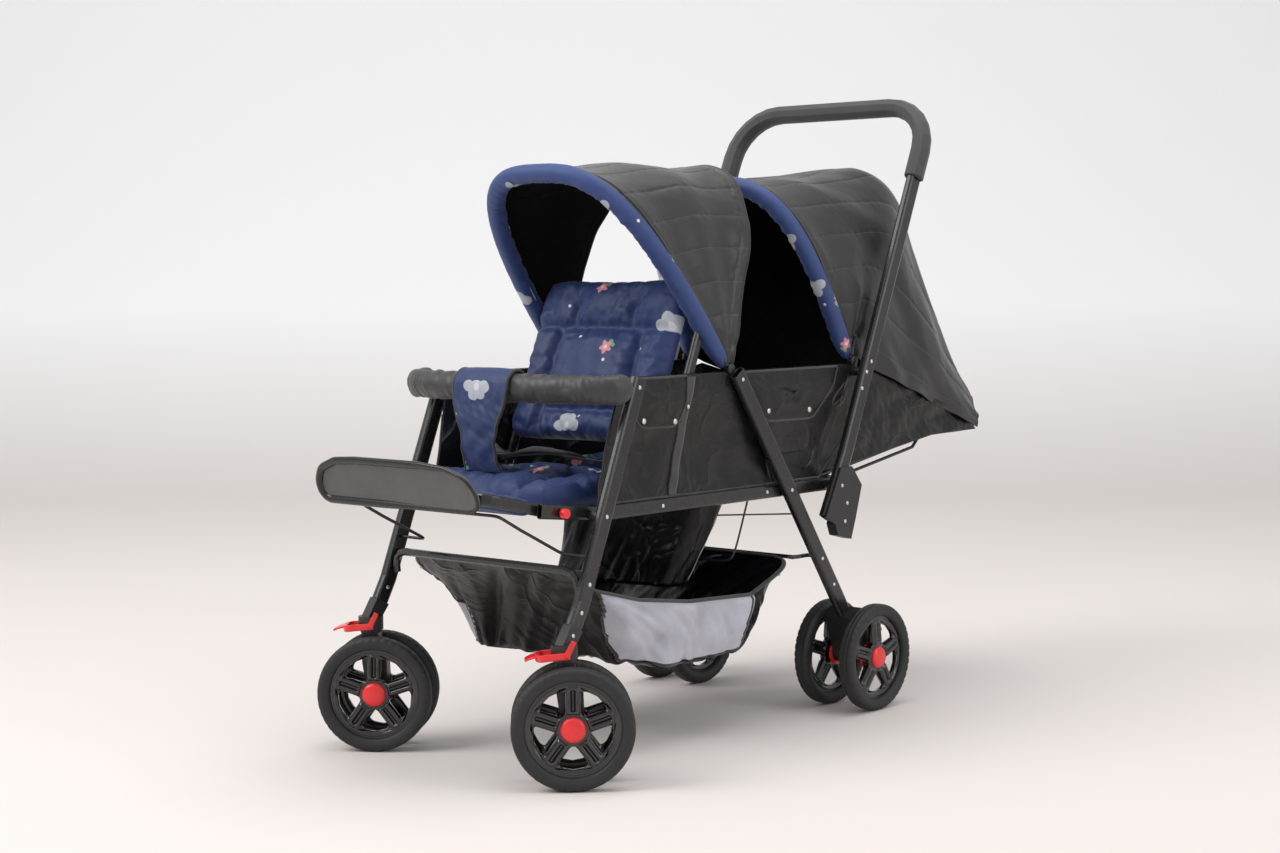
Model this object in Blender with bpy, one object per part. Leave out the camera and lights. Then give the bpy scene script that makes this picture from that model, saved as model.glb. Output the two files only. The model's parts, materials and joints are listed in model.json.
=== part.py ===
"""Tandem double stroller: front and rear seat, folding frame, canopies, basket and twin wheels.

Metres, +Z up, -Y is the front, +X is the riders' left. Side-view points are (y, z) measured from
the front hub line and the floor; the whole model hangs from one empty that centres it on its box.
"""

import math

import bmesh
import bpy
from mathutils import Matrix, Vector

# Clearances
GAP = 0.0003  # a piece and the seat it rests on
LAYER_GAP = 0.0015  # neighbouring tube planes of the side frame
WHEEL_GAP = 0.002  # a tyre and the fork or block beside it

# Tube sections: thickness across the stroller, depth in the side view, corner radius and wall
LEG_T, LEG_W = 0.014, 0.027
RAIL_T, RAIL_W = 0.010, 0.022
POST_T, POST_W = 0.010, 0.018
TUBE_CORNER = 0.0045
TUBE_WALL = 0.0013
BOSS_R = 0.0075
BOSS_SIDES = 12

# Planes of the side frame, from the outside in
LEG_X = 0.2065
REAR_X = LEG_X - LEG_T - LAYER_GAP
RAIL_X = REAR_X - LEG_T / 2 - LAYER_GAP - RAIL_T / 2
POST_X = RAIL_X - RAIL_T / 2 - LAYER_GAP - POST_T / 2
SEAT_HALF = 0.150  # half width of the cushions
PANEL_X = SEAT_HALF + GAP  # inner face of the side panels
PANEL_T = 0.003

# Side frame in the side view
LEG_PIVOT = (0.099, 0.382)  # front leg on the seat rail
ARM_LIFT = (0.076, 0.185)  # from a rail pivot to its armrest pivot
ARM_REAR = (0.752, 0.567)  # handle on the armrest
REAR_LEG_TOP = (0.439, 0.567)  # rear leg on the armrest
RAIL_FRONT = (-0.004, 0.397)
RAIL_BEND = (0.130, 0.382)
RAIL_REAR_Y = 0.727
RAIL_CORNER = 0.038
LEG_KINK = (0.052, 0.262)
LEG_FOOT = (0.033, 0.228)
LEG_TOP_OVER = 0.013  # tube beyond its top pivot
REAR_BAR_RUN = 0.3646  # the rod between the rear legs, along the leg from its top pivot
REAR_BAR_REACH = 0.038  # how far the rod's middle lies ahead of the legs
REAR_BAR_X = 0.170
REAR_BAR_R = 0.0035

# Wheels
WHEEL_R = 0.090
WHEEL_SIDES = 25
TYRE_HALF = 0.013
TYRE_BORE = 0.0715
RIM_HALF = 0.0095
RIM_RING_R = 0.060
HUB_R = 0.019
AXLE_R = 0.005
AXLE_GAP = 0.0004
FRONT_TWIN = 0.031  # wheel centre to caster centre plane
REAR_TWIN = 0.046
REAR_HUB_Y = 0.741
HUB_Z = WHEEL_R * math.cos(math.pi / WHEEL_SIDES)

# Casters
SWIVEL_Y = 0.014
TRAIL = 0.011
CASTER_TURN = {"left": math.radians(-46), "right": math.radians(-54)}
SOCKET_R = 0.0195
SOCKET_Z = (2 * WHEEL_R + 0.0055, 2 * WHEEL_R + 0.026)
FORK_HALF = 0.0135
FORK_TOP_R = 0.0165
LEVER_T = 0.003
LEVER_REACH = 0.050

# Handle
HANDLE_FOOT = (0.645, 0.330)
HANDLE_BEND = (0.700, 0.434)
HANDLE_TOP = (0.955, 1.020)
HANDLE_CORNER = 0.085
HANDLE_W = 0.028
GRIP_START = (0.900, 0.894)
GRIP_WALL = (0.0082, 0.0036)  # across and in the side view
HOUSING_PLATE = 0.004

# Seats
CUSHION_T = 0.046
UNDER_SHARE = 0.35  # share of a pad's thickness below its piped edge
FRONT_CUSHION_Y = (0.035, 0.268)
REAR_CUSHION_Y = (0.415, 0.635)
BACK_PIVOT = (0.262, 0.382)
BACK_LEAN = math.radians(67.6)  # from the horizontal, towards the rear
BACK_TOP = 0.336  # height of the back frame along its lean
BACK_CORNER = 0.045
BACK_PAD_T = 0.038
BACK_PAD_RUN = (0.085, 0.360)  # pad start and end along the lean
BED_PIVOT = (0.648, 0.384)
BED_BEND = (0.672, 0.3925)
BED_TILT = math.radians(9.2)  # the rear backrest lies almost flat
BED_LENGTH = 0.428
BED_T = 0.036
BED_TUBE_R = 0.005
BED_X = 0.1600
STRUT_R = 0.003
STRUT_DROP = 0.016

# Leg rest
REST_PIVOT = (0.010, 0.396)
REST_RISE = math.radians(13)
REST_LENGTH = 0.112
REST_X = POST_X
REST_W = 0.018
REST_CORNER = 0.022
REST_PAD_T = 0.024
PLATE_HALF = 0.166
PLATE_H = 0.074
PLATE_BELOW = 0.30  # share of the plate below the end of the leg rest
PLATE_T = 0.006
PLATE_LEAN = math.radians(20)
STAY_R = 0.0025
STAY_PIVOT = (0.0765, 0.325)
STAY_BEND = (-0.012, 0.369)
STAY_FRONT = (-0.056, 0.3925)
STAY_X = 0.146
KNOB_R = 0.0075
KNOB_T = 0.011

# Bumper and strap
BUMPER_Z = 0.566
BUMPER_Y = 0.082
BUMPER_RY, BUMPER_RZ = 0.020, 0.023
BUMPER_SIDES = 10
BALL_FACETS = 0.985  # reach of the faceted ball ends, against a true ball
STRAP_T = 0.004
STRAP_HALF = (0.056, 0.052, 0.040, 0.034, 0.033)

# Canopies
HOOP_POWER = 3.0
FABRIC_T = 0.003
WIRE_R = 0.003
HOOP_SLACK = 0.0002  # given back where the fabric runs down over the hoop wire
HOOP_INSET = FABRIC_T + WIRE_R + 0.0006  # from the fabric's outer face to the middle of the hoop wire
HOOP_A = RAIL_X - 0.001 + HOOP_INSET  # outer half width of the fabric, with its hoop on the armrest
FRONT_CANOPY_Y = 0.425
REAR_CANOPY_Y = 0.755
FRONT_CANOPY = ((128.5, 0.405), (102, 0.336), (72, 0.346))
REAR_CANOPY = ((118, 0.352), (88, 0.318), (56, 0.393))
TAIL_LOW = (1.150, 0.447)
TAIL_TOP = (1.176, 0.516)
HOOP_HALF_STEPS = 8

# Basket, footwell and side panels
BASKET_WALL = 0.003
HOOP_PIPE_R = 0.006
FLAP_Y = (0.455, 0.700)  # where the side panels are sewn over the armrests
FRONT_HOOP = (0.056, 0.305)
BRAKE_PIVOT = (REAR_HUB_Y + 0.0166, HUB_Z + 0.0445)
PEDAL_L = 0.040
PEDAL_T = 0.006

# The front of the foot plate and the tail of the rear canopy bound the length
PLATE_FRONT_Y = REST_PIVOT[0] - REST_LENGTH * math.cos(REST_RISE) - 0.036
Y_MIDDLE = (PLATE_FRONT_Y + TAIL_TOP[0]) / 2

SIDES = (("left", 1), ("right", -1))

for old in list(bpy.data.objects):
    bpy.data.objects.remove(old, do_unlink=True)

origin = bpy.data.objects.new("stroller_origin", None)
bpy.context.scene.collection.objects.link(origin)
origin.location = (0.0, -Y_MIDDLE, 0.0)


# Materials: colour, roughness, metallic
def material(name, colour, roughness, metallic=0.0):
    mat = bpy.data.materials.new(name)
    mat.use_nodes = True
    shader = mat.node_tree.nodes["Principled BSDF"]
    shader.inputs["Base Color"].default_value = (*colour, 1.0)
    shader.inputs["Roughness"].default_value = roughness
    shader.inputs["Metallic"].default_value = metallic
    return mat


FRAME_BLACK = material("frame_black", (0.030, 0.030, 0.032), 0.38, 0.6)
PLASTIC_BLACK = material("plastic_black", (0.025, 0.025, 0.026), 0.42)
PLASTIC_CHARCOAL = material("plastic_charcoal", (0.060, 0.060, 0.062), 0.5)
PLASTIC_GREY = material("plastic_grey", (0.115, 0.115, 0.118), 0.5)
PLASTIC_RED = material("plastic_red", (0.72, 0.022, 0.025), 0.4)
FOAM_GREY = material("foam_grey", (0.070, 0.070, 0.072), 0.85)
TYRE_BLACK = material("tyre_black", (0.022, 0.022, 0.022), 0.75)
RIM_BLACK = material("rim_black", (0.012, 0.012, 0.013), 0.22)
FABRIC_BLACK = material("fabric_black", (0.032, 0.032, 0.033), 0.9)
FABRIC_NAVY = material("fabric_navy", (0.030, 0.050, 0.170), 0.85)
WIRE_STEEL = material("wire_black", (0.035, 0.035, 0.036), 0.35, 0.7)


# Placing: verts are in the side-frame coordinates, and the object's origin goes to its pivot
def place(name, shape, mat, pivot=(0, 0, 0), turn=0.0, smooth=30):
    verts, faces = shape
    pivot = Vector(pivot)
    mesh = bpy.data.meshes.new(name)
    mesh.from_pydata([Vector(v) - pivot for v in verts], [], faces)
    tidy = bmesh.new()
    tidy.from_mesh(mesh)
    bmesh.ops.recalc_face_normals(tidy, faces=tidy.faces)
    if tidy.calc_volume(signed=True) < 0:
        bmesh.ops.reverse_faces(tidy, faces=tidy.faces)
    tidy.to_mesh(mesh)
    tidy.free()
    mesh.materials.append(mat)
    mesh.shade_smooth()
    mesh.set_sharp_from_angle(angle=math.radians(smooth))
    obj = bpy.data.objects.new(name, mesh)
    bpy.context.scene.collection.objects.link(obj)
    obj.parent = origin
    obj.location = pivot
    obj.rotation_euler = (0, 0, turn)
    return obj


def join(obj, shape):
    """Weld a second shape, given in the same coordinates as the object's own, onto it."""
    helper = place(obj.name + "_weld", shape, obj.data.materials[0], obj.location, obj.rotation_euler[2])
    helper.hide_render = True
    helper.display_type = "WIRE"
    weld = obj.modifiers.new("weld", "BOOLEAN")
    weld.operation = "UNION"
    weld.solver = "EXACT"
    weld.object = helper


# Shapes
def side_point(x, yz):
    return Vector((x, yz[0], yz[1]))


def lean(yz, angle, run, off=0.0):
    """A side-view point: run along a line at an angle above +Y, then off to its upper front side."""
    c, s = math.cos(angle), math.sin(angle)
    return (yz[0] + run * c - off * s, yz[1] + run * s + off * c)


def rounded(points, radius, steps=5):
    """A polyline with each inner corner replaced by an arc."""
    path = [Vector(points[0])]
    for before, here, after in zip(points, points[1:], points[2:]):
        here = Vector(here)
        a = (Vector(before) - here).normalized()
        b = (Vector(after) - here).normalized()
        half = a.angle(b) / 2
        centre = here + (a + b).normalized() * radius / math.sin(half)
        start = here + a * radius / math.tan(half) - centre
        end = here + b * radius / math.tan(half) - centre
        sweep = start.angle(end)
        for k in range(steps + 1):
            f = k / steps
            path.append(
                centre + (start * math.sin((1 - f) * sweep) + end * math.sin(f * sweep)) / math.sin(sweep)
            )
    path.append(Vector(points[-1]))
    return path


def box_section(a, b, corner):
    """A rounded rectangle with half sizes a and b, twelve points."""
    ring = []
    for quarter, (sx, sy) in enumerate(((1, 1), (-1, 1), (-1, -1), (1, -1))):
        for k in range(3):
            t = math.radians(90 * quarter + 45 * k)
            across = sx * (a - corner) + corner * math.cos(t)
            ring.append((across, sy * (b - corner) + corner * math.sin(t)))
    return ring


def round_section(ra, rb, count=8):
    ring = []
    for k in range(count):
        t = 2 * math.pi * (k + 0.5) / count
        ring.append((ra * math.cos(t), rb * math.sin(t)))
    return ring


def sweep(path, section, inner=None, side=(1, 0, 0), scales=None):
    """Carry a section along a path; with an inner section the result is an open-ended tube."""
    path = [Vector(p) for p in path]
    tangents = []
    for i in range(len(path)):
        tangents.append((path[min(i + 1, len(path) - 1)] - path[max(i - 1, 0)]).normalized())
    u = Vector(side)
    verts, faces = [], []
    rings = [section] if inner is None else [section, inner]
    count = len(section)
    for i, (p, t) in enumerate(zip(path, tangents)):
        if i:
            u = tangents[i - 1].rotation_difference(t) @ u
        u = (u - t * u.dot(t)).normalized()
        v = t.cross(u)
        size = scales[i] if scales else 1
        for ring in rings:
            verts.extend(p + u * a * size + v * b * size for a, b in ring)
    stride = count * len(rings)
    for i in range(len(path) - 1):
        for r in range(len(rings)):
            for k in range(count):
                a = i * stride + r * count + k
                b = i * stride + r * count + (k + 1) % count
                faces.append((a, b, b + stride, a + stride) if r == 0 else (b, a, a + stride, b + stride))
    for i in (0, len(path) - 1):
        base = i * stride
        if inner is None:
            faces.append(tuple(range(base, base + count)))
            continue
        for k in range(count):
            nxt = (k + 1) % count
            faces.append((base + k, base + nxt, base + count + nxt, base + count + k))
    return verts, faces


def pipe(path, t, w, corner=TUBE_CORNER, wall=TUBE_WALL, side=(1, 0, 0)):
    inner = box_section(t / 2 - wall, w / 2 - wall, max(corner - wall, 0.001))
    return sweep(path, box_section(t / 2, w / 2, corner), inner, side)


def rod(path, radius, count=8, side=(1, 0, 0)):
    return sweep(path, round_section(radius, radius, count), None, side)


def slab(outline, x0, x1):
    """A side-view outline carried across from x0 to x1."""
    n = len(outline)
    verts = [(x, y, z) for x in (x0, x1) for y, z in outline]
    faces = [tuple(range(n)), tuple(range(2 * n - 1, n - 1, -1))]
    faces += [(k, k + n, (k + 1) % n + n, (k + 1) % n) for k in range(n)]
    return verts, faces


def cross_boss(x0, x1, yz, radius=BOSS_R, count=BOSS_SIDES):
    outline = []
    for k in range(count):
        t = 2 * math.pi * (k + 0.5) / count
        outline.append((yz[0] + radius * math.cos(t), yz[1] + radius * math.sin(t)))
    return slab(outline, x0, x1)


def upright(centre, radius, z0, z1, count=16):
    verts = []
    for z in (z0, z1):
        for k in range(count):
            t = 2 * math.pi * (k + 0.5) / count
            verts.append((centre[0] + radius * math.cos(t), centre[1] + radius * math.sin(t), z))
    faces = [tuple(range(count)), tuple(range(2 * count - 1, count - 1, -1))]
    faces += [(k, (k + 1) % count, (k + 1) % count + count, k + count) for k in range(count)]
    return verts, faces


def lathe(profile, centre, count):
    """A closed (radius, x) profile turned about an axle along X, with a flat facet at the bottom."""
    verts, faces = [], []
    n = len(profile)
    for k in range(count):
        t = -math.pi / 2 + 2 * math.pi * (k + 0.5) / count
        for r, x in profile:
            verts.append((centre[0] + x, centre[1] + r * math.cos(t), centre[2] + r * math.sin(t)))
    for k in range(count):
        a, b = k * n, (k + 1) % count * n
        faces += [(a + j, a + (j + 1) % n, b + (j + 1) % n, b + j) for j in range(n)]
    return verts, faces


def shell(outer, inner):
    """A closed skin between two grids of points that have the same rows and columns."""
    rows, cols = len(outer), len(outer[0])
    verts = [p for grid in (outer, inner) for row in grid for p in row]
    faces = []
    half = rows * cols
    for i in range(rows - 1):
        for j in range(cols - 1):
            a, b, c, d = i * cols + j, i * cols + j + 1, (i + 1) * cols + j + 1, (i + 1) * cols + j
            faces += [(a, b, c, d), (d + half, c + half, b + half, a + half)]
    rim = [(0, j) for j in range(cols)] + [(i, cols - 1) for i in range(1, rows)]
    rim += [(rows - 1, j) for j in range(cols - 2, -1, -1)] + [(i, 0) for i in range(rows - 2, 0, -1)]
    for (i, j), (k, m) in zip(rim, rim[1:] + rim[:1]):
        a, b = i * cols + j, k * cols + m
        faces.append((b, a, a + half, b + half))
    return verts, faces


def spread(cuts, extra):
    """Grid lines from -1 to 1 that hold each seam with a line close beside it on both sides."""
    lines = {-1.0, 1.0}
    for c in cuts:
        lines.update((c - 0.07, c, c + 0.07))
    lines.update(extra)
    return sorted(lines)


def lift(u, v):
    """How full a pad is at a place on it, from 0 at its piped edge to 1 in the middle."""
    swell = (max(1 - abs(u) ** 4, 0) * max(1 - abs(v) ** 4, 0)) ** 0.42
    return swell * (0.88 + 0.12 * math.cos(u * 1.5) * math.cos(v * 1.5))


def cushion(half_w, length, thick, seams_u, seams_v, frame, bottom=UNDER_SHARE, extra=(), sink=0.30,
            draw=0.025):
    """A crowned pad with drawn-in sides and sewn channels. frame maps (across, along, up) to a point."""
    us = spread(seams_u, (-0.93, -0.78, 0.0, 0.78, 0.93))
    vs = spread(seams_v, (-0.94, -0.80, 0.80, 0.94) + tuple(extra))

    def sewn(u, v):
        near = min([abs(u - s) for s in seams_u] + [abs(v - s) for s in seams_v] + [9.0])
        return 1 - sink if near < 1e-6 else 1.0

    verts, faces, ids = [], [], {}
    for layer, size in (("top", thick * (1 - bottom)), ("under", -thick * bottom)):
        for i, u in enumerate(us):
            for j, v in enumerate(vs):
                edge = abs(u) == 1 or abs(v) == 1
                if edge and layer == "under":
                    ids[layer, i, j] = ids["top", i, j]
                    continue
                across = half_w * u * (1 - draw * (1 - v * v))
                along = length / 2 * (1 + v * (1 - draw * (1 - u * u)))
                up = 0.0 if edge else size * lift(u, v) * (sewn(u, v) if layer == "top" else 1)
                ids[layer, i, j] = len(verts)
                verts.append(frame(across, along, up + thick * bottom))
    for layer in ("top", "under"):
        for i in range(len(us) - 1):
            for j in range(len(vs) - 1):
                quad = [ids[layer, a, b] for a, b in ((i, j), (i + 1, j), (i + 1, j + 1), (i, j + 1))]
                faces.append(tuple(quad if layer == "top" else reversed(quad)))
    return verts, faces


def on_line(yz, angle, off=0.0):
    """A frame for pads that lie along a line in the side view."""

    def frame(across, along, up):
        y, z = lean(yz, angle, along, off + up)
        return (across, y, z)

    return frame


# Wheel: an open-spoked rim and its tyre
def rim_shape(centre):
    per, spokes = WHEEL_SIDES, 5
    radii = (AXLE_R + AXLE_GAP, HUB_R, RIM_RING_R, TYRE_BORE - GAP)
    verts, faces = [], []
    for x in (-RIM_HALF, RIM_HALF):
        for r in radii:
            for k in range(per):
                t = -math.pi / 2 + 2 * math.pi * (k + 0.5) / per
                verts.append((centre[0] + x, centre[1] + r * math.cos(t), centre[2] + r * math.sin(t)))
    side = len(radii) * per

    def solid(band, k):
        return band != 1 or k % spokes < 2

    for k in range(per):
        n = (k + 1) % per
        for band in range(3):
            if not solid(band, k):
                continue
            a, b, c, d = band * per + k, band * per + n, (band + 1) * per + n, (band + 1) * per + k
            faces += [(a, b, c, d), (d + side, c + side, b + side, a + side)]
            if band == 0 or not solid(band - 1, k):
                faces.append((b, a, a + side, b + side))
            if band == 2 or not solid(band + 1, k):
                faces.append((d, c, c + side, d + side))
            if not solid(band, (k - 1) % per):
                faces.append((a, d, d + side, a + side))
            if not solid(band, n):
                faces.append((c, b, b + side, c + side))
    return verts, faces


def tyre_shape(centre):
    h = TYRE_HALF
    profile = [
        (TYRE_BORE, -h * 0.80), (WHEEL_R * 0.90, -h), (WHEEL_R * 0.975, -h * 0.78), (WHEEL_R, -h * 0.35),
        (WHEEL_R, h * 0.35), (WHEEL_R * 0.975, h * 0.78), (WHEEL_R * 0.90, h), (TYRE_BORE, h * 0.80),
    ]
    return lathe(profile, centre, WHEEL_SIDES)


def wheel(tag, centre, local, turn=0.0):
    """centre is the hub in the frame; local is the hub in the turned piece's own axes."""
    for kind, shape, mat in (("rim", rim_shape, RIM_BLACK), ("tyre", tyre_shape, TYRE_BLACK)):
        obj = place(f"{kind}_{tag}", shape(local), mat, local, turn)
        obj.location = centre


# Frame pieces
ARM_FRONT = (LEG_PIVOT[0] + ARM_LIFT[0], LEG_PIVOT[1] + ARM_LIFT[1])
HANDLE_PIVOT = (ARM_REAR[0] - ARM_LIFT[0], ARM_REAR[1] - ARM_LIFT[1])
RAIL_OUT = RAIL_X + RAIL_T / 2
RAIL_IN = RAIL_X - RAIL_T / 2
ARM_TOP_Z = ARM_REAR[1] + RAIL_W / 2
WELD_IN = 0.0007  # how deep a welded boss enters the wall it stands on


def seat_rail():
    pts = [side_point(RAIL_X, RAIL_FRONT), side_point(RAIL_X, RAIL_BEND)]
    pts.append(Vector((RAIL_X, RAIL_REAR_Y, RAIL_BEND[1])))
    mirrored = [Vector((-p.x, p.y, p.z)) for p in reversed(pts)]
    corners = rounded(pts + mirrored, RAIL_CORNER, 4)
    obj = place("seat_rail", pipe(corners, RAIL_T, RAIL_W), FRAME_BLACK)
    reach = RAIL_IN + WELD_IN
    join(obj, cross_boss(-reach, reach, LEG_PIVOT, BOSS_R))


def front_leg(side, s):
    up = math.atan2(ARM_LIFT[1], ARM_LIFT[0])
    top = lean(ARM_FRONT, up, LEG_TOP_OVER)
    pts = [side_point(s * LEG_X, p) for p in (top, LEG_KINK, LEG_FOOT)]
    shape = pipe([pts[0], pts[1], pts[2]], LEG_T, LEG_W)
    obj = place(f"front_leg_{side}", shape, FRAME_BLACK, side_point(s * LEG_X, LEG_PIVOT))
    inner = LEG_X - LEG_T / 2
    for spot in (LEG_PIVOT, ARM_FRONT):
        join(obj, cross_boss(s * (RAIL_OUT + GAP), s * (inner + WELD_IN), spot))


def caster_socket(side, s):
    """The plastic foot that takes the leg tube and carries the upright swivel bearing."""
    out = math.atan2(LEG_KINK[1] - LEG_FOOT[1], LEG_KINK[0] - LEG_FOOT[0])
    half = LEG_W / 2
    top_back = lean(LEG_FOOT, out, -GAP, -half)
    top_front = lean(LEG_FOOT, out, -GAP, half)
    low = SOCKET_Z[1] - 0.004
    outline = [top_back, top_front, (SWIVEL_Y - SOCKET_R * 0.75, low), (SWIVEL_Y + SOCKET_R * 0.75, low)]
    pivot = (s * LEG_X, SWIVEL_Y, SOCKET_Z[0])
    cheek = half * 0.62
    shape = slab(outline, s * (LEG_X - cheek), s * (LEG_X + cheek))
    obj = place(f"caster_socket_{side}", shape, PLASTIC_BLACK, pivot)
    join(obj, upright((s * LEG_X, SWIVEL_Y), SOCKET_R, SOCKET_Z[0], SOCKET_Z[1], 16))


def caster(side, s):
    """The swivelling fork, its twin wheels and its lock lever, turned together as one."""
    turn = CASTER_TURN[side]
    spin = Matrix.Rotation(turn, 4, "Z")
    base = Vector((s * LEG_X, SWIVEL_Y, 0))
    hub = Vector((0, TRAIL, HUB_Z))
    top = SOCKET_Z[0] - GAP
    outline = [(-0.0125, top - 0.003), (0.0125, top - 0.003), (0.026, top - 0.035)]
    outline.append((TRAIL + 0.017, HUB_Z + 0.006))
    for k in range(5):
        t = math.radians(-10 - 40 * k)
        outline.append((TRAIL + 0.016 * math.cos(t), HUB_Z + 0.016 * math.sin(t)))
    outline.append((-0.012, top - 0.050))
    shape = slab(outline, -FORK_HALF, FORK_HALF)
    fork = place(f"caster_fork_{side}", shape, PLASTIC_BLACK, (0, 0, HUB_Z), turn)
    fork.location = base + Vector((0, 0, HUB_Z))
    reach = FRONT_TWIN + TYRE_HALF
    axle = cross_boss(-reach, reach, (TRAIL, HUB_Z), AXLE_R, 10)
    for shape in (axle, upright((0, 0), FORK_TOP_R, top - 0.004, top)):
        helper = place(f"{fork.name}_weld", shape, PLASTIC_BLACK, (0, 0, HUB_Z), turn)
        helper.location = fork.location
        helper.hide_render = True
        helper.display_type = "WIRE"
        weld = fork.modifiers.new("weld", "BOOLEAN")
        weld.operation = "UNION"
        weld.solver = "EXACT"
        weld.object = helper
    for tag, way in (("outer", s), ("inner", -s)):
        local = Vector((way * FRONT_TWIN, TRAIL, HUB_Z))
        wheel(f"front_{side}_{tag}", base + spin @ local, local, turn)
    lever_pivot = Vector((0, 0.004, SOCKET_Z[0] + 0.007))
    reach_x = SOCKET_R + GAP
    loop = [
        Vector((reach_x + LEVER_T / 2, lever_pivot.y + 0.004, lever_pivot.z)),
        Vector((reach_x + LEVER_T / 2, -LEVER_REACH + 0.010, lever_pivot.z - 0.004)),
        Vector((-reach_x - LEVER_T / 2, -LEVER_REACH + 0.010, lever_pivot.z - 0.004)),
        Vector((-reach_x - LEVER_T / 2, lever_pivot.y + 0.004, lever_pivot.z)),
    ]
    shape = sweep(rounded(loop, 0.012, 3), box_section(LEVER_T / 2, 0.005, 0.0008), None, (1, 0, 0))
    lever = place(f"swivel_lock_{side}", shape, PLASTIC_RED, lever_pivot, turn)
    lever.location = base + spin @ lever_pivot


REAR_FOOT = (REAR_HUB_Y - 0.026, HUB_Z + 0.075)
REAR_SLOPE = math.atan2(REAR_FOOT[1] - REAR_LEG_TOP[1], REAR_FOOT[0] - REAR_LEG_TOP[0])


def rear_legs():
    """Both rear legs and the bowed rod welded across between them."""
    inner = REAR_X - LEG_T / 2
    top = lean(REAR_LEG_TOP, REAR_SLOPE, -LEG_TOP_OVER)
    tubes = []
    for s in (1, -1):
        tubes.append(pipe([side_point(s * REAR_X, top), side_point(s * REAR_X, REAR_FOOT)], LEG_T, LEG_W))
    obj = place("rear_leg_frame", tubes[0], FRAME_BLACK, side_point(0, REAR_LEG_TOP))
    reach = inner + WELD_IN
    y, z = lean(REAR_LEG_TOP, REAR_SLOPE, REAR_BAR_RUN)
    half = [Vector((reach, y, z)), Vector((REAR_BAR_X, y, z)), Vector((REAR_BAR_X, y - REAR_BAR_REACH, z))]
    bow = rounded(half + [Vector((-p.x, p.y, p.z)) for p in reversed(half)], 0.009, 3)
    join(obj, rod(bow, REAR_BAR_R, 8, (0, 0, 1)))
    join(obj, tubes[1])
    for s in (1, -1):
        join(obj, cross_boss(s * (RAIL_OUT + GAP), s * reach, REAR_LEG_TOP))


def axle_block(side, s):
    half = LEG_W / 2 + 0.001
    block_half = REAR_TWIN - TYRE_HALF - WHEEL_GAP
    outline = [lean(REAR_FOOT, REAR_SLOPE, GAP, half), lean(REAR_FOOT, REAR_SLOPE, GAP, -half)]
    outline += [(REAR_HUB_Y - 0.017, HUB_Z + 0.010)]
    for k in range(5):
        t = math.radians(200 + 35 * k)
        outline.append((REAR_HUB_Y + 0.016 * math.cos(t), HUB_Z + 0.016 * math.sin(t)))
    outline += [(REAR_HUB_Y + 0.019, HUB_Z + 0.030)]
    shape = slab(outline, s * (REAR_X - block_half), s * (REAR_X + block_half))
    block = place(f"axle_block_{side}", shape, PLASTIC_BLACK, (s * REAR_X, REAR_HUB_Y, HUB_Z))
    reach = REAR_TWIN + TYRE_HALF
    join(block, cross_boss(s * (REAR_X - reach), s * (REAR_X + reach), (REAR_HUB_Y, HUB_Z), AXLE_R, 10))
    for tag, way in (("outer", 1), ("inner", -1)):
        centre = Vector((s * (REAR_X + way * REAR_TWIN), REAR_HUB_Y, HUB_Z))
        wheel(f"rear_{side}_{tag}", centre, centre)


def brake_pedal(side, s):
    y, z = BRAKE_PIVOT
    half = PEDAL_T / 2
    tip = y + PEDAL_L
    outline = [(y - 0.004, z - half), (y - 0.004, z + half), (y + 0.012, z + half), (tip, z - 0.004)]
    outline += [(tip + 0.002, z - 0.010), (tip - 0.004, z - 0.010), (y + 0.010, z - half)]
    width = 0.020
    shape = slab(outline, s * (REAR_X - width), s * (REAR_X + width))
    place(f"brake_pedal_{side}", shape, PLASTIC_RED, (s * REAR_X, y, z))


def armrest(side, s):
    pts = [Vector((s * RAIL_X, y, ARM_REAR[1])) for y in (ARM_FRONT[0] - 0.012, ARM_REAR[0] + 0.012)]
    place(f"armrest_{side}", pipe(pts, RAIL_T, RAIL_W), FRAME_BLACK, side_point(s * RAIL_X, ARM_FRONT))


def handle():
    pts = [side_point(LEG_X, p) for p in (HANDLE_FOOT, HANDLE_BEND, HANDLE_TOP)]
    mirrored = [Vector((-p.x, p.y, p.z)) for p in reversed(pts)]
    lower = pts[:2]
    top = rounded([pts[1], pts[2], mirrored[0], mirrored[1]], HANDLE_CORNER, 6)
    path = lower + top[1:-1] + mirrored[1:]
    obj = place("handle_tube", pipe(path, LEG_T, HANDLE_W), FRAME_BLACK, side_point(0, HANDLE_PIVOT))
    inner = LEG_X - LEG_T / 2
    for s in (1, -1):
        for spot in (HANDLE_PIVOT, ARM_REAR):
            join(obj, cross_boss(s * (RAIL_OUT + GAP), s * (inner + WELD_IN), spot))
    grip_path = [side_point(LEG_X, GRIP_START)] + top[1:-1] + [side_point(-LEG_X, GRIP_START)]
    a, b = LEG_T / 2 + GAP, HANDLE_W / 2 + GAP
    inner = box_section(a, b, TUBE_CORNER)
    outer = box_section(a + GRIP_WALL[0], b + GRIP_WALL[1], TUBE_CORNER + sum(GRIP_WALL) * 0.9)
    place("handle_grip", sweep(grip_path, outer, inner), FOAM_GREY, side_point(0, HANDLE_PIVOT))


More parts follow.
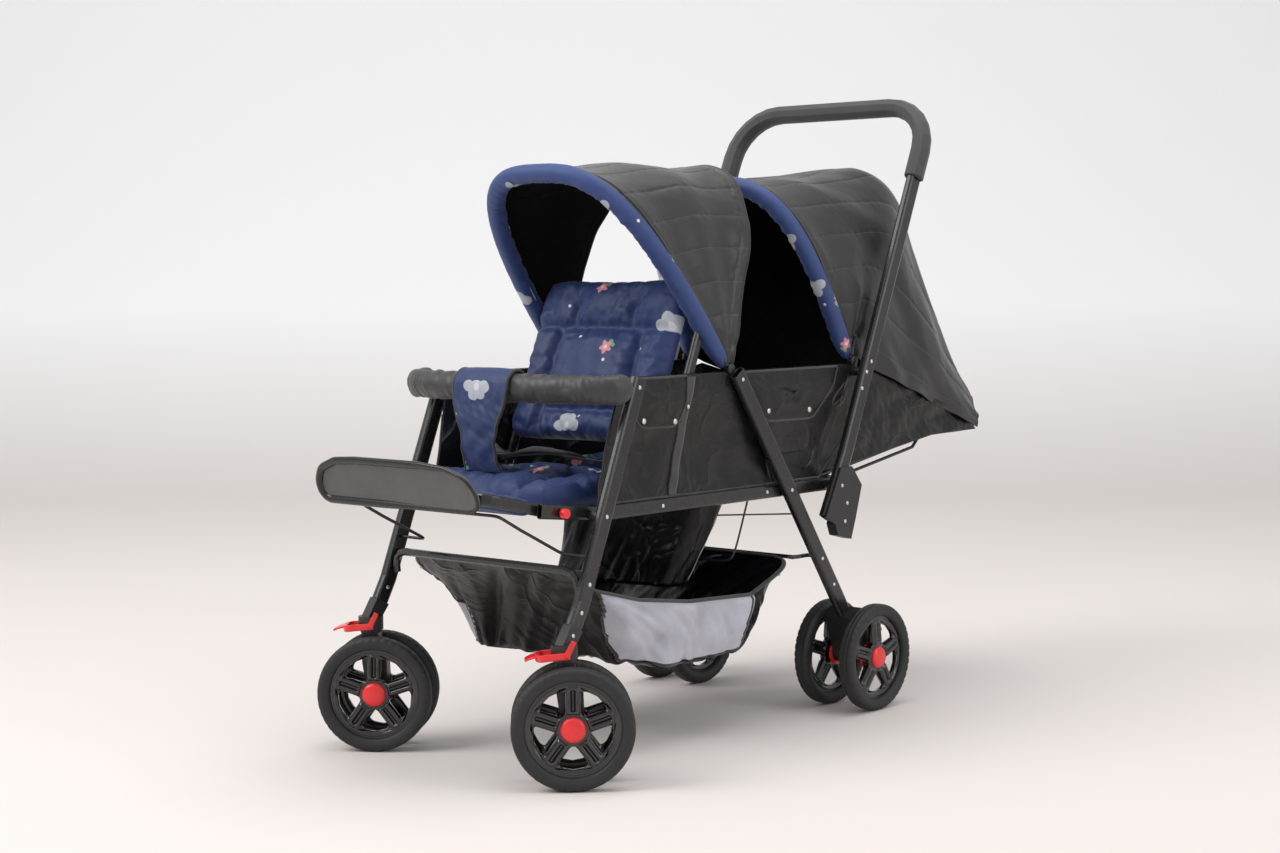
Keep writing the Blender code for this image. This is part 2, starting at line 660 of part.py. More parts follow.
def latch_housing(side, s):
    """A cover plate over the foot of the handle tube, with the block that fills in behind it."""
    up = math.atan2(HANDLE_BEND[1] - HANDLE_FOOT[1], HANDLE_BEND[0] - HANDLE_FOOT[0])
    half = HANDLE_W / 2
    behind = [lean(HANDLE_FOOT, up, run, -half - GAP) for run in (-0.004, 0.088)]
    rear = [(0.731, 0.379), (0.714, 0.326), (0.701, 0.291), (0.664, 0.300)]
    ahead = [lean(HANDLE_FOOT, up, run, half) for run in (0.086, 0.030, -0.004)]
    face = LEG_X + LEG_T / 2 + GAP
    plate = slab([ahead[0], (0.704, 0.412)] + rear + [behind[0], ahead[2], ahead[1]], s * face,
                 s * (face + HOUSING_PLATE))
    obj = place(f"latch_housing_{side}", plate, PLASTIC_CHARCOAL, side_point(s * LEG_X, HANDLE_PIVOT))
    block = slab([behind[1]] + rear + [behind[0]], s * (LEG_X - LEG_T / 2), s * (face + WELD_IN))
    join(obj, block)


# Seats
def seats():
    z = RAIL_BEND[1] + BOSS_R + GAP
    for name, (y0, y1), seams in (
        ("front_seat_cushion", FRONT_CUSHION_Y, ((-0.58, 0.58), (-0.2, 0.45))),
        ("rear_seat_cushion", REAR_CUSHION_Y, ((-0.58, 0.58), (0.0,))),
    ):
        shape = cushion(SEAT_HALF, y1 - y0, CUSHION_T, *seams, on_line((y0, z), 0.0))
        place(name, shape, FABRIC_NAVY, (0, (y0 + y1) / 2, z))


def front_back():
    pts = [side_point(POST_X, lean(BACK_PIVOT, BACK_LEAN, run)) for run in (-0.008, BACK_TOP)]
    mirrored = [Vector((-p.x, p.y, p.z)) for p in reversed(pts)]
    path = rounded(pts + mirrored, BACK_CORNER, 4)
    shape = pipe(path, POST_T, POST_W, 0.004)
    obj = place("front_back_frame", shape, FRAME_BLACK, side_point(0, BACK_PIVOT))
    for s in (1, -1):
        join(obj, cross_boss(s * (POST_X + POST_T / 2 - WELD_IN), s * (RAIL_IN - GAP), BACK_PIVOT, 0.006))
    start, end = BACK_PAD_RUN
    bar = (2 * (BACK_TOP - POST_T / 2) - start - end) / (end - start)
    slack = BACK_PAD_T * UNDER_SHARE * (1 - lift(0, bar))
    frame = on_line(lean(BACK_PIVOT, BACK_LEAN, start), BACK_LEAN, POST_W / 2 + GAP - slack)
    shape = cushion(SEAT_HALF, end - start, BACK_PAD_T, (-0.62, 0.62), (0.40,), frame, extra=(bar,))
    place("front_back_pad", shape, FABRIC_NAVY, side_point(0, BACK_PIVOT))


def rear_back():
    ends = [side_point(BED_X, p) for p in (BED_PIVOT, BED_BEND, lean(BED_BEND, BED_TILT, BED_LENGTH))]
    mirrored = [Vector((-p.x, p.y, p.z)) for p in reversed(ends)]
    path = rounded(ends + mirrored, 0.030, 4)
    obj = place("rear_back_frame", rod(path, BED_TUBE_R), FRAME_BLACK, side_point(0, BED_PIVOT))
    for s in (1, -1):
        join(obj, cross_boss(s * (BED_X + BED_TUBE_R - 0.001), s * (RAIL_IN - GAP), BED_PIVOT, 0.004, 8))
        strut = [
            side_point(s * BED_X, lean(BED_BEND, BED_TILT, 0.075)),
            side_point(s * BED_X, lean(BED_BEND, BED_TILT, 0.100, -STRUT_DROP)),
            side_point(s * BED_X, lean(BED_BEND, BED_TILT, 0.295, -STRUT_DROP)),
            side_point(s * BED_X, lean(BED_BEND, BED_TILT, 0.320)),
        ]
        join(obj, rod(strut, STRUT_R, 6))
    frame = on_line(lean(BED_BEND, BED_TILT, 0.002), BED_TILT, BED_TUBE_R + GAP)
    shape = cushion(SEAT_HALF, BED_LENGTH - 0.004, BED_T, (-0.62, 0.62), (-0.30, 0.35), frame)
    place("rear_back_pad", shape, FABRIC_NAVY, side_point(0, BED_PIVOT))


# Leg rest
def leg_rest():
    along = math.pi - REST_RISE
    pts = [side_point(REST_X, lean(REST_PIVOT, along, run)) for run in (-0.004, REST_LENGTH)]
    mirrored = [Vector((-p.x, p.y, p.z)) for p in reversed(pts)]
    path = rounded(pts + mirrored, REST_CORNER, 3)
    obj = place("legrest_frame", pipe(path, POST_T, REST_W, 0.004), FRAME_BLACK, side_point(0, REST_PIVOT))
    for s in (1, -1):
        join(obj, cross_boss(s * (REST_X + POST_T / 2 - WELD_IN), s * (RAIL_IN - GAP), REST_PIVOT, 0.006))
    tilt = PLATE_LEAN + REST_RISE
    corner = 0.004
    reach = (POST_T / 2 - corner) * math.cos(tilt) + (REST_W / 2 - corner) * math.sin(tilt) + corner
    tip = lean(REST_PIVOT, along, REST_LENGTH + (reach + GAP) / math.cos(tilt))
    up = math.radians(90) + PLATE_LEAN
    low = lean(tip, up, -PLATE_H * PLATE_BELOW)
    high = lean(tip, up, PLATE_H * (1 - PLATE_BELOW))
    lip = PLATE_T + 0.004
    outline = [low, high, lean(high, up, 0.002, lip), lean(high, up, -0.008, lip)]
    outline += [lean(high, up, -0.010, PLATE_T), lean(low, up, 0.0, PLATE_T)]
    place("foot_plate", slab(outline, -PLATE_HALF, PLATE_HALF), PLASTIC_GREY, side_point(0, REST_PIVOT))
    half = REST_X - POST_T / 2 - GAP
    start = lean(REST_PIVOT, along, REST_LENGTH - REST_CORNER - 0.002)
    frame = on_line(start, -REST_RISE, -REST_PAD_T * 0.45)
    shape = cushion(half, REST_LENGTH - REST_CORNER - 0.020, REST_PAD_T, (), (), frame, 0.45)
    place("legrest_pad", shape, FABRIC_NAVY, side_point(0, REST_PIVOT))


def leg_rest_stay():
    """A bent wire from the front legs to the underside of the leg rest."""
    half = []
    half.append(side_point(LEG_X - LEG_T / 2 - GAP, STAY_PIVOT))
    half.append(side_point(STAY_X, STAY_PIVOT))
    half.append(side_point(STAY_X, STAY_BEND))
    half.append(side_point(STAY_X, STAY_FRONT))
    mirrored = [Vector((-p.x, p.y, p.z)) for p in reversed(half)]
    path = rounded(half + mirrored, 0.010, 3)
    place("legrest_stay", rod(path, STAY_R, 6, (0, 0, 1)), WIRE_STEEL, side_point(0, STAY_PIVOT))


def release_knob(side, s):
    spot = (RAIL_FRONT[0] + 0.040, RAIL_FRONT[1] - 0.006)
    x0 = RAIL_OUT + GAP
    stem = cross_boss(s * x0, s * (x0 + 0.004), spot, KNOB_R * 0.62)
    obj = place(f"release_knob_{side}", stem, PLASTIC_RED, side_point(s * x0, spot))
    join(obj, cross_boss(s * (x0 + 0.003), s * (x0 + KNOB_T), spot, KNOB_R))


# Bumper bar across the front seat
def bumper():
    """The padded bar: a bow with ball ends, each set against the front face of a leg."""
    slope = math.atan2(ARM_LIFT[1], ARM_LIFT[0])
    face_y = ARM_FRONT[0] + (BUMPER_Z - ARM_FRONT[1]) / math.tan(slope) - LEG_W / 2 / math.sin(slope)
    ball = math.hypot(BUMPER_RY * math.sin(slope), BUMPER_RZ * math.cos(slope)) * BALL_FACETS
    end_y = face_y - (ball + GAP) / math.sin(slope)
    points, scales = [], []
    steps = 9
    for k in range(-steps, steps + 1):
        t = k / steps * math.pi / 2
        y = BUMPER_Y + (end_y - BUMPER_Y) * (1 - math.cos(t)) ** 1.6
        points.append(Vector((LEG_X * math.sin(t), y, BUMPER_Z)))
        scales.append(1.0)
    for turn in (30, 55, 80):
        a = math.radians(turn)
        reach = BUMPER_RY * math.sin(a)
        points.insert(0, Vector((-LEG_X, end_y + reach, BUMPER_Z)))
        points.append(Vector((LEG_X, end_y + reach, BUMPER_Z)))
        scales.insert(0, math.cos(a))
        scales.append(math.cos(a))
    section = round_section(BUMPER_RZ, BUMPER_RY, BUMPER_SIDES)
    shape = sweep(points, section, None, (0, 0, 1), scales)
    place("bumper_bar", shape, FABRIC_BLACK, (-LEG_X, end_y, BUMPER_Z))


def crotch_strap():
    """A padded strap from under the bumper down to the front edge of the seat."""
    top = (BUMPER_Y, BUMPER_Z - BUMPER_RZ * math.cos(math.pi / BUMPER_SIDES) - GAP)
    foot = (FRONT_CUSHION_Y[0] + 0.030, RAIL_BEND[1] + BOSS_R + CUSHION_T + 0.004)
    outer, inner = [], []
    rows = len(STRAP_HALF)
    for i, half in enumerate(STRAP_HALF):
        f = i / (rows - 1)
        y = top[0] + (foot[0] - top[0]) * f - 0.016 * math.sin(math.pi * f)
        z = top[1] + (foot[1] - top[1]) * f
        for grid, push in ((outer, -STRAP_T / 2), (inner, STRAP_T / 2)):
            row = []
            for k in range(5):
                u = k / 2 - 1
                row.append((half * u, y + push - 0.003 * (1 - u * u), z))
            grid.append(row)
    place("crotch_strap", shell(outer, inner), FABRIC_NAVY, (0, top[0], top[1]))


# Canopies
def hoop_pivot(pivot_y, stations):
    """Where a hoop wire ends, tilted, with its end ring standing on the armrest."""
    tilt = math.radians(stations[0][0])
    return (pivot_y, ARM_TOP_Z + WIRE_R * abs(math.cos(tilt)) + GAP)


def arch(low, top, half, power, steps=HOOP_HALF_STEPS):
    """Points over a hoop from the right side up and down to the left side."""
    row = []
    for k in range(-steps, steps + 1):
        t = math.pi / 2 * k / steps
        across = abs(math.sin(t)) ** (2 / power) * (1 if k > 0 else -1 if k < 0 else 0)
        rise = abs(math.cos(t)) ** (2 / power) if abs(k) < steps else 0.0
        y = low[0] + (top[0] - low[0]) * rise
        z = low[1] + (top[1] - low[1]) * rise
        row.append(Vector((half * across, y, z)))
    return row


def station(pivot, angle, radius, inset=0.0):
    return pivot, lean(pivot, math.radians(angle), radius - inset)


def canopy(tag, pivot_y, stations, tail=None):
    outer, inner = [], []
    pivot = hoop_pivot(pivot_y, stations)
    for angle, radius in stations:
        low, top = station(pivot, angle, radius)
        low = lean(low, math.radians(angle), 0.012)
        outer.append(arch(low, top, HOOP_A, HOOP_POWER))
        low_in, top_in = station(pivot, angle, radius, FABRIC_T)
        low_in = lean(low_in, math.radians(angle), 0.012)
        inner.append(arch(low_in, top_in, HOOP_A - FABRIC_T, HOOP_POWER))
    if tail:
        first_low, first_top = station(pivot, *stations[-1])
        for f, half in ((0.5, HOOP_A), (1.0, HOOP_A - 0.006)):
            low = tuple(a + (b - a) * f for a, b in zip(first_low, tail[0]))
            top = tuple(a + (b - a) * f for a, b in zip(first_top, tail[1]))
            low = (low[0], low[1] + 0.012 * (1 - f))
            outer.append(arch(low, top, half, HOOP_POWER))
            low = (low[0] - FABRIC_T * 0.3, low[1])
            top = (top[0] - FABRIC_T * 1.2, top[1] - FABRIC_T)
            inner.append(arch(low, top, half - FABRIC_T, HOOP_POWER))
    place(f"{tag}_canopy_fabric", shell(outer, inner), FABRIC_BLACK, (0, *pivot))
    (turn, reach), (next_turn, next_reach) = stations[:2]
    slope = (reach - next_reach) / (reach * math.radians(turn - next_turn))
    low, top = station(pivot, turn, reach, HOOP_INSET + WIRE_R * slope - HOOP_SLACK)
    path = arch(low, top, HOOP_A - HOOP_INSET, HOOP_POWER)
    place(f"{tag}_canopy_hoop", rod(path, WIRE_R, 6), WIRE_STEEL, (0, *pivot))


# Fabric hung on the frame
def side_panel(side, s):
    top = ARM_REAR[1] + 0.004
    low = RAIL_BEND[1] - 0.006
    outline = [(0.160, top), (0.118, low + 0.03), (0.114, low), (0.632, low)]
    outline += [(0.770, top - 0.095), (0.765, top)]
    shape = slab(outline, s * PANEL_X, s * (PANEL_X + PANEL_T))
    obj = place(f"side_panel_{side}", shape, FABRIC_BLACK, (s * PANEL_X, 0.43, top))
    shelf = ARM_TOP_Z + GAP
    flap = [(FLAP_Y[0], shelf), (FLAP_Y[1], shelf)]
    flap += [(FLAP_Y[1], shelf + PANEL_T), (FLAP_Y[0], shelf + PANEL_T)]
    join(obj, slab(flap, s * (PANEL_X + PANEL_T / 2), s * (RAIL_OUT - 0.001)))
    web = [(FLAP_Y[0], top - 0.001), (FLAP_Y[1], top - 0.001)] + flap[2:]
    join(obj, slab(web, s * PANEL_X, s * (PANEL_X + PANEL_T)))


def tub(name, rings, wall, mat, pivot):
    """An open tub: rings of (half width, front y, rear y, front z, rear z) from the rim to the floor."""

    def loop(half, y0, y1, z0, z1, inset, lift):
        c = 0.02
        pts = []
        for x, y in (
            (half, y0 + c), (half, (y0 + y1) / 2), (half, y1 - c), (half - c, y1),
            (0, y1), (c - half, y1), (-half, y1 - c), (-half, (y0 + y1) / 2),
            (-half, y0 + c), (c - half, y0), (0, y0), (half - c, y0),
        ):
            f = (y - y0) / (y1 - y0)
            x *= 1 - inset / half
            y += inset * (1 - 2 * f)
            pts.append(Vector((x, y, z0 + (z1 - z0) * f + lift)))
        return pts

    count = 12
    loops = [loop(*ring, 0.0, 0.0) for ring in rings]
    loops += [loop(*ring, wall, wall if k == 0 else 0.0) for k, ring in enumerate(reversed(rings))]
    verts = [p for ring in loops for p in ring]
    faces = []
    total = len(loops)
    for i in range(total):
        j = (i + 1) % total
        if i == len(rings) - 1:
            continue
        for k in range(count):
            n = (k + 1) % count
            faces.append((i * count + k, i * count + n, j * count + n, j * count + k))
    floor = len(rings) - 1
    faces.append(tuple(floor * count + k for k in range(count)))
    faces.append(tuple((floor + 1) * count + k for k in reversed(range(count))))
    place(name, (verts, faces), mat, pivot)


def basket():
    half = LEG_X - LEG_T / 2 - 0.014
    y0, z0 = FRONT_HOOP[0] + HOOP_PIPE_R * math.cos(math.pi / 8) + GAP, FRONT_HOOP[1] + 0.002
    rings = (
        (half, y0, 0.600, z0, 0.262),
        (half - 0.010, y0 + 0.035, 0.560, 0.225, 0.200),
        (half - 0.022, y0 + 0.085, 0.480, 0.150, 0.132),
    )
    tub("basket", rings, BASKET_WALL, FABRIC_BLACK, (0, 0.33, z0))


def footwell():
    rings = (
        (SEAT_HALF, 0.372, 0.474, 0.382, 0.382),
        (SEAT_HALF - 0.018, 0.358, 0.434, 0.300, 0.300),
        (SEAT_HALF - 0.028, 0.326, 0.404, 0.240, 0.236),
    )
    tub("footwell_bag", rings, BASKET_WALL, FABRIC_BLACK, (0, 0.42, 0.372))


def basket_hoop():
    """A tube riveted inside the front legs that holds the mouth of the basket open."""
    x = LEG_X - LEG_T / 2 - GAP - HOOP_PIPE_R
    foot = (LEG_KINK[0] + 0.007, LEG_KINK[1] + 0.010)
    half = [side_point(x, foot), side_point(x, FRONT_HOOP)]
    path = rounded(half + [Vector((-p.x, p.y, p.z)) for p in reversed(half)], 0.022, 3)
    place("basket_hoop", rod(path, HOOP_PIPE_R, 8), FRAME_BLACK, side_point(0, LEG_PIVOT))


def main():
    seat_rail()
    rear_legs()
    seats()
    front_back()
    rear_back()
    leg_rest()
    leg_rest_stay()
    handle()
    bumper()
    crotch_strap()
    canopy("front", FRONT_CANOPY_Y, FRONT_CANOPY)
    canopy("rear", REAR_CANOPY_Y, REAR_CANOPY, (TAIL_LOW, TAIL_TOP))
    basket_hoop()
    basket()
    footwell()
    for side, s in SIDES:
        front_leg(side, s)
        caster_socket(side, s)
        caster(side, s)
        axle_block(side, s)
        brake_pedal(side, s)
        armrest(side, s)
        latch_housing(side, s)
        release_knob(side, s)
        side_panel(side, s)


main()
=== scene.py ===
"""The looks of the tandem double stroller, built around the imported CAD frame.

Side-view points (y, z) are measured from the front hub line and the floor, as the CAD is drawn;
world() moves them into the row frame. +X is the riders' left and -Y the front.
"""

import json
import math

import bmesh
import bpy
import numpy as np
from mathutils import Matrix, Vector

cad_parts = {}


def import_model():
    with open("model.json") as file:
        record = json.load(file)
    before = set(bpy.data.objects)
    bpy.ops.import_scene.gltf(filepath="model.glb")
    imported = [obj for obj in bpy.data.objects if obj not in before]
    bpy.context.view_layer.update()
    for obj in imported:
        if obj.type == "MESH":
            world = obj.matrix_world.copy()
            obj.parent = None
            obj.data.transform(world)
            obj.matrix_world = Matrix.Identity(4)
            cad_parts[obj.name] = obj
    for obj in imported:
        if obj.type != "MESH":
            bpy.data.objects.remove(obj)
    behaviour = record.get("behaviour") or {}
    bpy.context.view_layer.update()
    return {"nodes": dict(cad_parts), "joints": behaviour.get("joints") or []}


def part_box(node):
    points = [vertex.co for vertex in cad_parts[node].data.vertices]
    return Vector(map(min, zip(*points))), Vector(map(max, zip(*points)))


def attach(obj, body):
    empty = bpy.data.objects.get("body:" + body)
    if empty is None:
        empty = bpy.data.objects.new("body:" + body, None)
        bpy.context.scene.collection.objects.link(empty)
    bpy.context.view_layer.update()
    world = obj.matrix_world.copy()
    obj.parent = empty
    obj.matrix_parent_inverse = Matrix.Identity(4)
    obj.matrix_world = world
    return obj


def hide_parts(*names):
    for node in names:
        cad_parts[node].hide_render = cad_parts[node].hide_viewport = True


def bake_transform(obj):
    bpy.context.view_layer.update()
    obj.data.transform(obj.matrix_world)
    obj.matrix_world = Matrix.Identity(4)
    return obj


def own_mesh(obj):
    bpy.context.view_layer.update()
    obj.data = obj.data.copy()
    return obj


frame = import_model()
NODES = frame["nodes"]
JOINTS = {j["name"]: j for j in frame["joints"]}

# Planes and points of the CAD frame
SHIFT = 0.520435
LEG_X, LEG_T = 0.2065, 0.014
REAR_X, RAIL_X, RAIL_T = 0.191, 0.1775, 0.010
PIVOT_Z = 0.5800
HOOP_A = 0.1831
HOOP_POWER = 3.0
FRONT_STATIONS = ((128.5, 0.405), (102, 0.336), (72, 0.346))
REAR_STATIONS = ((118, 0.352), (88, 0.318), (56, 0.393))
FRONT_CANOPY_Y, REAR_CANOPY_Y = 0.425, 0.755
TAIL_LOW, TAIL_TOP = (1.150, 0.447), (1.176, 0.516)
SIDES = (("left", 1), ("right", -1))
MM = 0.001


# ---------------------------------------------------------------- points and grids
def world(x, y, z):
    return Vector((x, y - SHIFT, z))


def shifted(points):
    """Side-frame points as an array in the row frame."""
    return np.asarray(points, float) - np.array([0.0, SHIFT, 0.0])


def resample(points, count):
    points = np.asarray(points, float)
    steps = np.linalg.norm(np.diff(points, axis=0), axis=1)
    along = np.concatenate([[0], np.cumsum(steps)])
    at = np.linspace(0, along[-1], count)
    return np.stack([np.interp(at, along, points[:, k]) for k in range(points.shape[1])], 1)


def through(values, at):
    """Catmull-Rom through evenly numbered values; at runs from 0 to len - 1."""
    values = np.asarray(values, float)
    if values.ndim == 1:
        values = values[:, None]
    at = np.atleast_1d(np.asarray(at, float))
    last = len(values) - 1
    i = np.clip(np.floor(at).astype(int), 0, last - 1)
    f = (at - i)[:, None]
    p1, p2 = values[i], values[i + 1]
    p0 = np.where((i > 0)[:, None], values[np.maximum(i - 1, 0)], 2 * p1 - p2)
    p3 = np.where((i + 2 <= last)[:, None], values[np.minimum(i + 2, last)], 2 * p2 - p1)
    return 0.5 * (2 * p1 + (p2 - p0) * f + (2 * p0 - 5 * p1 + 4 * p2 - p3) * f**2
                  + (3 * p1 - p0 - 3 * p2 + p3) * f**3)


def smooth_line(points, count):
    fine = through(points, np.linspace(0, len(points) - 1, 60 * len(points)))
    return resample(fine, count)


def waves(u, v, scale, seed, octaves=3):
    """Smooth irregular height of about -1 to 1; scale is waves per metre."""
    draw = np.random.default_rng(seed)
    total, size, norm = 0.0, 1.0, 0.0
    for octave in range(octaves):
        for _ in range(5):
            turn, phase = draw.uniform(0, 2 * math.pi, 2)
            rate = scale * 2**octave * draw.uniform(0.7, 1.4) * 2 * math.pi
            total = total + size * np.sin((u * math.cos(turn) + v * math.sin(turn)) * rate + phase)
            norm += size**2
        size *= 0.55
    return total / (norm**0.5 * 1.25)


def bell(d, width):
    return np.exp(-((d / width) ** 2))


def step(x, low, high):
    t = np.clip((x - low) / (high - low), 0, 1)
    return t * t * (3 - 2 * t)


def grid_normals(grid, wrap=False):
    if wrap:
        dj = np.roll(grid, -1, 1) - np.roll(grid, 1, 1)
    else:
        dj = np.gradient(grid, axis=1)
    n = np.cross(np.gradient(grid, axis=0), dj)
    return n / np.maximum(np.linalg.norm(n, axis=2, keepdims=True), 1e-12)


def grid_faces(rows, cols, wrap=False, closed=False):
    """Quads of a grid: wrap joins its last column to the first, closed its last row to the first."""
    faces = []
    for i in range(rows if closed else rows - 1):
        n = (i + 1) % rows
        for j in range(cols if wrap else cols - 1):
            k = (j + 1) % cols
            faces.append((i * cols + j, i * cols + k, n * cols + k, n * cols + j))
    return faces


def lengths(grid):
    """Arc lengths of a grid down its rows and along its columns, as two arrays."""
    down = np.linalg.norm(np.diff(grid, axis=0), axis=2)
    along = np.linalg.norm(np.diff(grid, axis=1), axis=2)
    u = np.concatenate([np.zeros((1, grid.shape[1])), np.cumsum(down, 0)])
    v = np.concatenate([np.zeros((grid.shape[0], 1)), np.cumsum(along, 1)], axis=1)
    return u, v


def area_of(grid):
    a = np.cross(grid[1:, 1:] - grid[:-1, :-1], grid[1:, :-1] - grid[:-1, 1:])
    return float(np.linalg.norm(a, axis=2).sum() / 2)


# ---------------------------------------------------------------- objects
def make(name, verts, faces, mats, uv=None, faces_mat=None):
    mesh = bpy.data.meshes.new(name)
    mesh.from_pydata([tuple(map(float, p)) for p in verts], [], faces)
    for mat in mats if isinstance(mats, (list, tuple)) else [mats]:
        mesh.materials.append(mat)
    if uv is not None:
        uv = np.asarray(uv, float).reshape(-1, 2)
        layer = mesh.uv_layers.new(name="UVMap")
        loops = np.zeros(len(mesh.loops), np.int32)
        mesh.loops.foreach_get("vertex_index", loops)
        layer.data.foreach_set("uv", uv[loops].astype(np.float32).ravel())
    if faces_mat is not None:
        mesh.polygons.foreach_set("material_index", np.asarray(faces_mat, np.int32))
    mesh.shade_smooth()
    obj = bpy.data.objects.new(name, mesh)
    bpy.context.scene.collection.objects.link(obj)
    return obj


def outward(obj):
    """Faces of a closed mesh turned to the outside."""
    bm = bmesh.new()
    bm.from_mesh(obj.data)
    bmesh.ops.recalc_face_normals(bm, faces=bm.faces)
    if bm.calc_volume(signed=True) < 0:
        bmesh.ops.reverse_faces(bm, faces=bm.faces)
    bm.to_mesh(obj.data)
    bm.free()
    return obj


def cloth_sheet(name, grid, mat, thick=1.2 * MM, uv=None, wrap=False, faces_mat=None):
    """A closed thin cloth from a grid of row-frame points."""
    rows, cols = grid.shape[:2]
    if uv is None:
        uv = np.stack(lengths(grid), 2)
    n = grid_normals(grid, wrap)
    both = np.concatenate([(grid + n * thick / 2).reshape(-1, 3), (grid - n * thick / 2).reshape(-1, 3)])
    half = rows * cols
    top = grid_faces(rows, cols, wrap)
    faces = top + [tuple(k + half for k in reversed(f)) for f in top]
    index = None if faces_mat is None else list(faces_mat) * 2
    rim = []
    if wrap:
        for i, way in ((0, 1), (rows - 1, -1)):
            for j in range(cols):
                a, b = i * cols + j, i * cols + (j + 1) % cols
                quad = (a, a + half, b + half, b)
                rim.append(quad if way > 0 else quad[::-1])
    else:
        edge = [(0, j) for j in range(cols)] + [(i, cols - 1) for i in range(1, rows)]
        edge += [(rows - 1, j) for j in range(cols - 2, -1, -1)] + [(i, 0) for i in range(rows - 2, 0, -1)]
        for (i, j), (k, m) in zip(edge, edge[1:] + edge[:1]):
            a, b = i * cols + j, k * cols + m
            rim.append((a, a + half, b + half, b))
    if index is not None:
        index += [0] * len(rim)
    obj = make(name, both, faces + rim, mat, np.concatenate([uv.reshape(-1, 2)] * 2), index)
    return outward(obj)


def oval(a, b, count=16, power=2.0):
    t = np.linspace(0, 2 * math.pi, count, endpoint=False)
    c, s = np.cos(t), np.sin(t)
    return np.stack([a * np.sign(c) * abs(c) ** (2 / power), b * np.sign(s) * abs(s) ** (2 / power)], 1)


def frames(path, side, closed=False):
    path = np.asarray(path, float)
    if closed:
        t = np.roll(path, -1, 0) - np.roll(path, 1, 0)
    else:
        t = np.gradient(path, axis=0)
    t /= np.linalg.norm(t, axis=1, keepdims=True)
    u = np.zeros_like(t)
    now = np.asarray(side, float)
    for i in range(len(path)):
        now = now - t[i] * (now @ t[i])
        now = now / np.linalg.norm(now)
        u[i] = now
    return t, u, np.cross(t, u)


def tube(name, path, section, mat, side=(1, 0, 0), sizes=None, bumps=None, closed=False, uv_shift=(0, 0)):
    """A closed-ended sweep of a section along a path, with optional size and bumps per ring."""
    path = np.asarray(path, float)
    section = np.asarray(section, float)
    t, u, w = frames(path, side, closed)
    count = len(section)
    sizes = np.ones(len(path)) if sizes is None else np.asarray(sizes)
    offset = (section[None, :, 0, None] * u[:, None] + section[None, :, 1, None] * w[:, None])
    rings = path[:, None] + offset * sizes[:, None, None]
    if bumps is not None:
        rings = rings + offset / np.linalg.norm(offset, axis=2, keepdims=True) * bumps[..., None]
    along = np.concatenate([[0], np.cumsum(np.linalg.norm(np.diff(path, axis=0), axis=1))])
    around = np.concatenate([[0], np.cumsum(np.linalg.norm(np.diff(section, axis=0), axis=1))])
    uv = np.stack(np.meshgrid(around + uv_shift[0], along + uv_shift[1]), 2)
    rows = len(path)
    faces = grid_faces(rows, count, True, closed)
    verts = rings.reshape(-1, 3)
    if not closed:
        verts = np.concatenate([verts, path[:1], path[-1:]])
        uv = np.concatenate([uv.reshape(-1, 2), [[0, along[0]], [0, along[-1]]]])
        a, b = rows * count, rows * count + 1
        for j in range(count):
            k = (j + 1) % count
            faces.append((k, j, a))
            faces.append(((rows - 1) * count + j, (rows - 1) * count + k, b))
    return outward(make(name, verts, faces, mat, uv.reshape(-1, 2)))


def lathe(name, profile, mat, count=48):
    """A closed turned body from (x, radius) points; the first and last lie on the axis."""
    t = np.linspace(0, 2 * math.pi, count, endpoint=False)
    verts = [(profile[0][0], 0, 0)]
    for x, r in profile[1:-1]:
        verts += [(x, r * math.cos(a), r * math.sin(a)) for a in t]
    verts.append((profile[-1][0], 0, 0))
    rings = len(profile) - 2
    faces = []
    for j in range(count):
        k = (j + 1) % count
        faces.append((0, 1 + k, 1 + j))
        for i in range(rings - 1):
            a, b = 1 + i * count, 1 + (i + 1) * count
            faces.append((a + j, a + k, b + k, b + j))
        faces.append((1 + (rings - 1) * count + j, 1 + (rings - 1) * count + k, len(verts) - 1))
    return outward(make(name, verts, faces, mat))


def merged(name, parts, mat):
    """Several small objects of one material joined into one piece."""
    verts, faces, base = [], [], 0
    for obj in parts:
        m = obj.matrix_basis.copy()
        verts += [m @ v.co for v in obj.data.vertices]
        faces += [tuple(base + k for k in p.vertices) for p in obj.data.polygons]
        base = len(verts)
        bpy.data.objects.remove(obj)
    return make(name, verts, faces, mat)


def bevelled(obj, width, segments=2, angle=35):
    mod = obj.modifiers.new("soft_edges", "BEVEL")
    mod.width = width
    mod.segments = segments
    mod.limit_method = "ANGLE"
    mod.angle_limit = math.radians(angle)
    mod.harden_normals = True


def fit(obj, body, node=None):
    """Fixes a piece to its body; node is the CAD node it stands for, which is hidden."""
    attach(obj, body)
    if node:
        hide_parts(node)
    return obj


def declare(obj, grid, flat):
    """Works out the area of the cloth as modelled, no more than the flat size; nothing is done with it."""
    area = min(area_of(grid), flat[0] * flat[1])


def fold_up(pieces):
    """Gives each piece of hanging cloth its own copy of its mesh; nothing is moved."""
    for piece in pieces:
        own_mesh(piece)


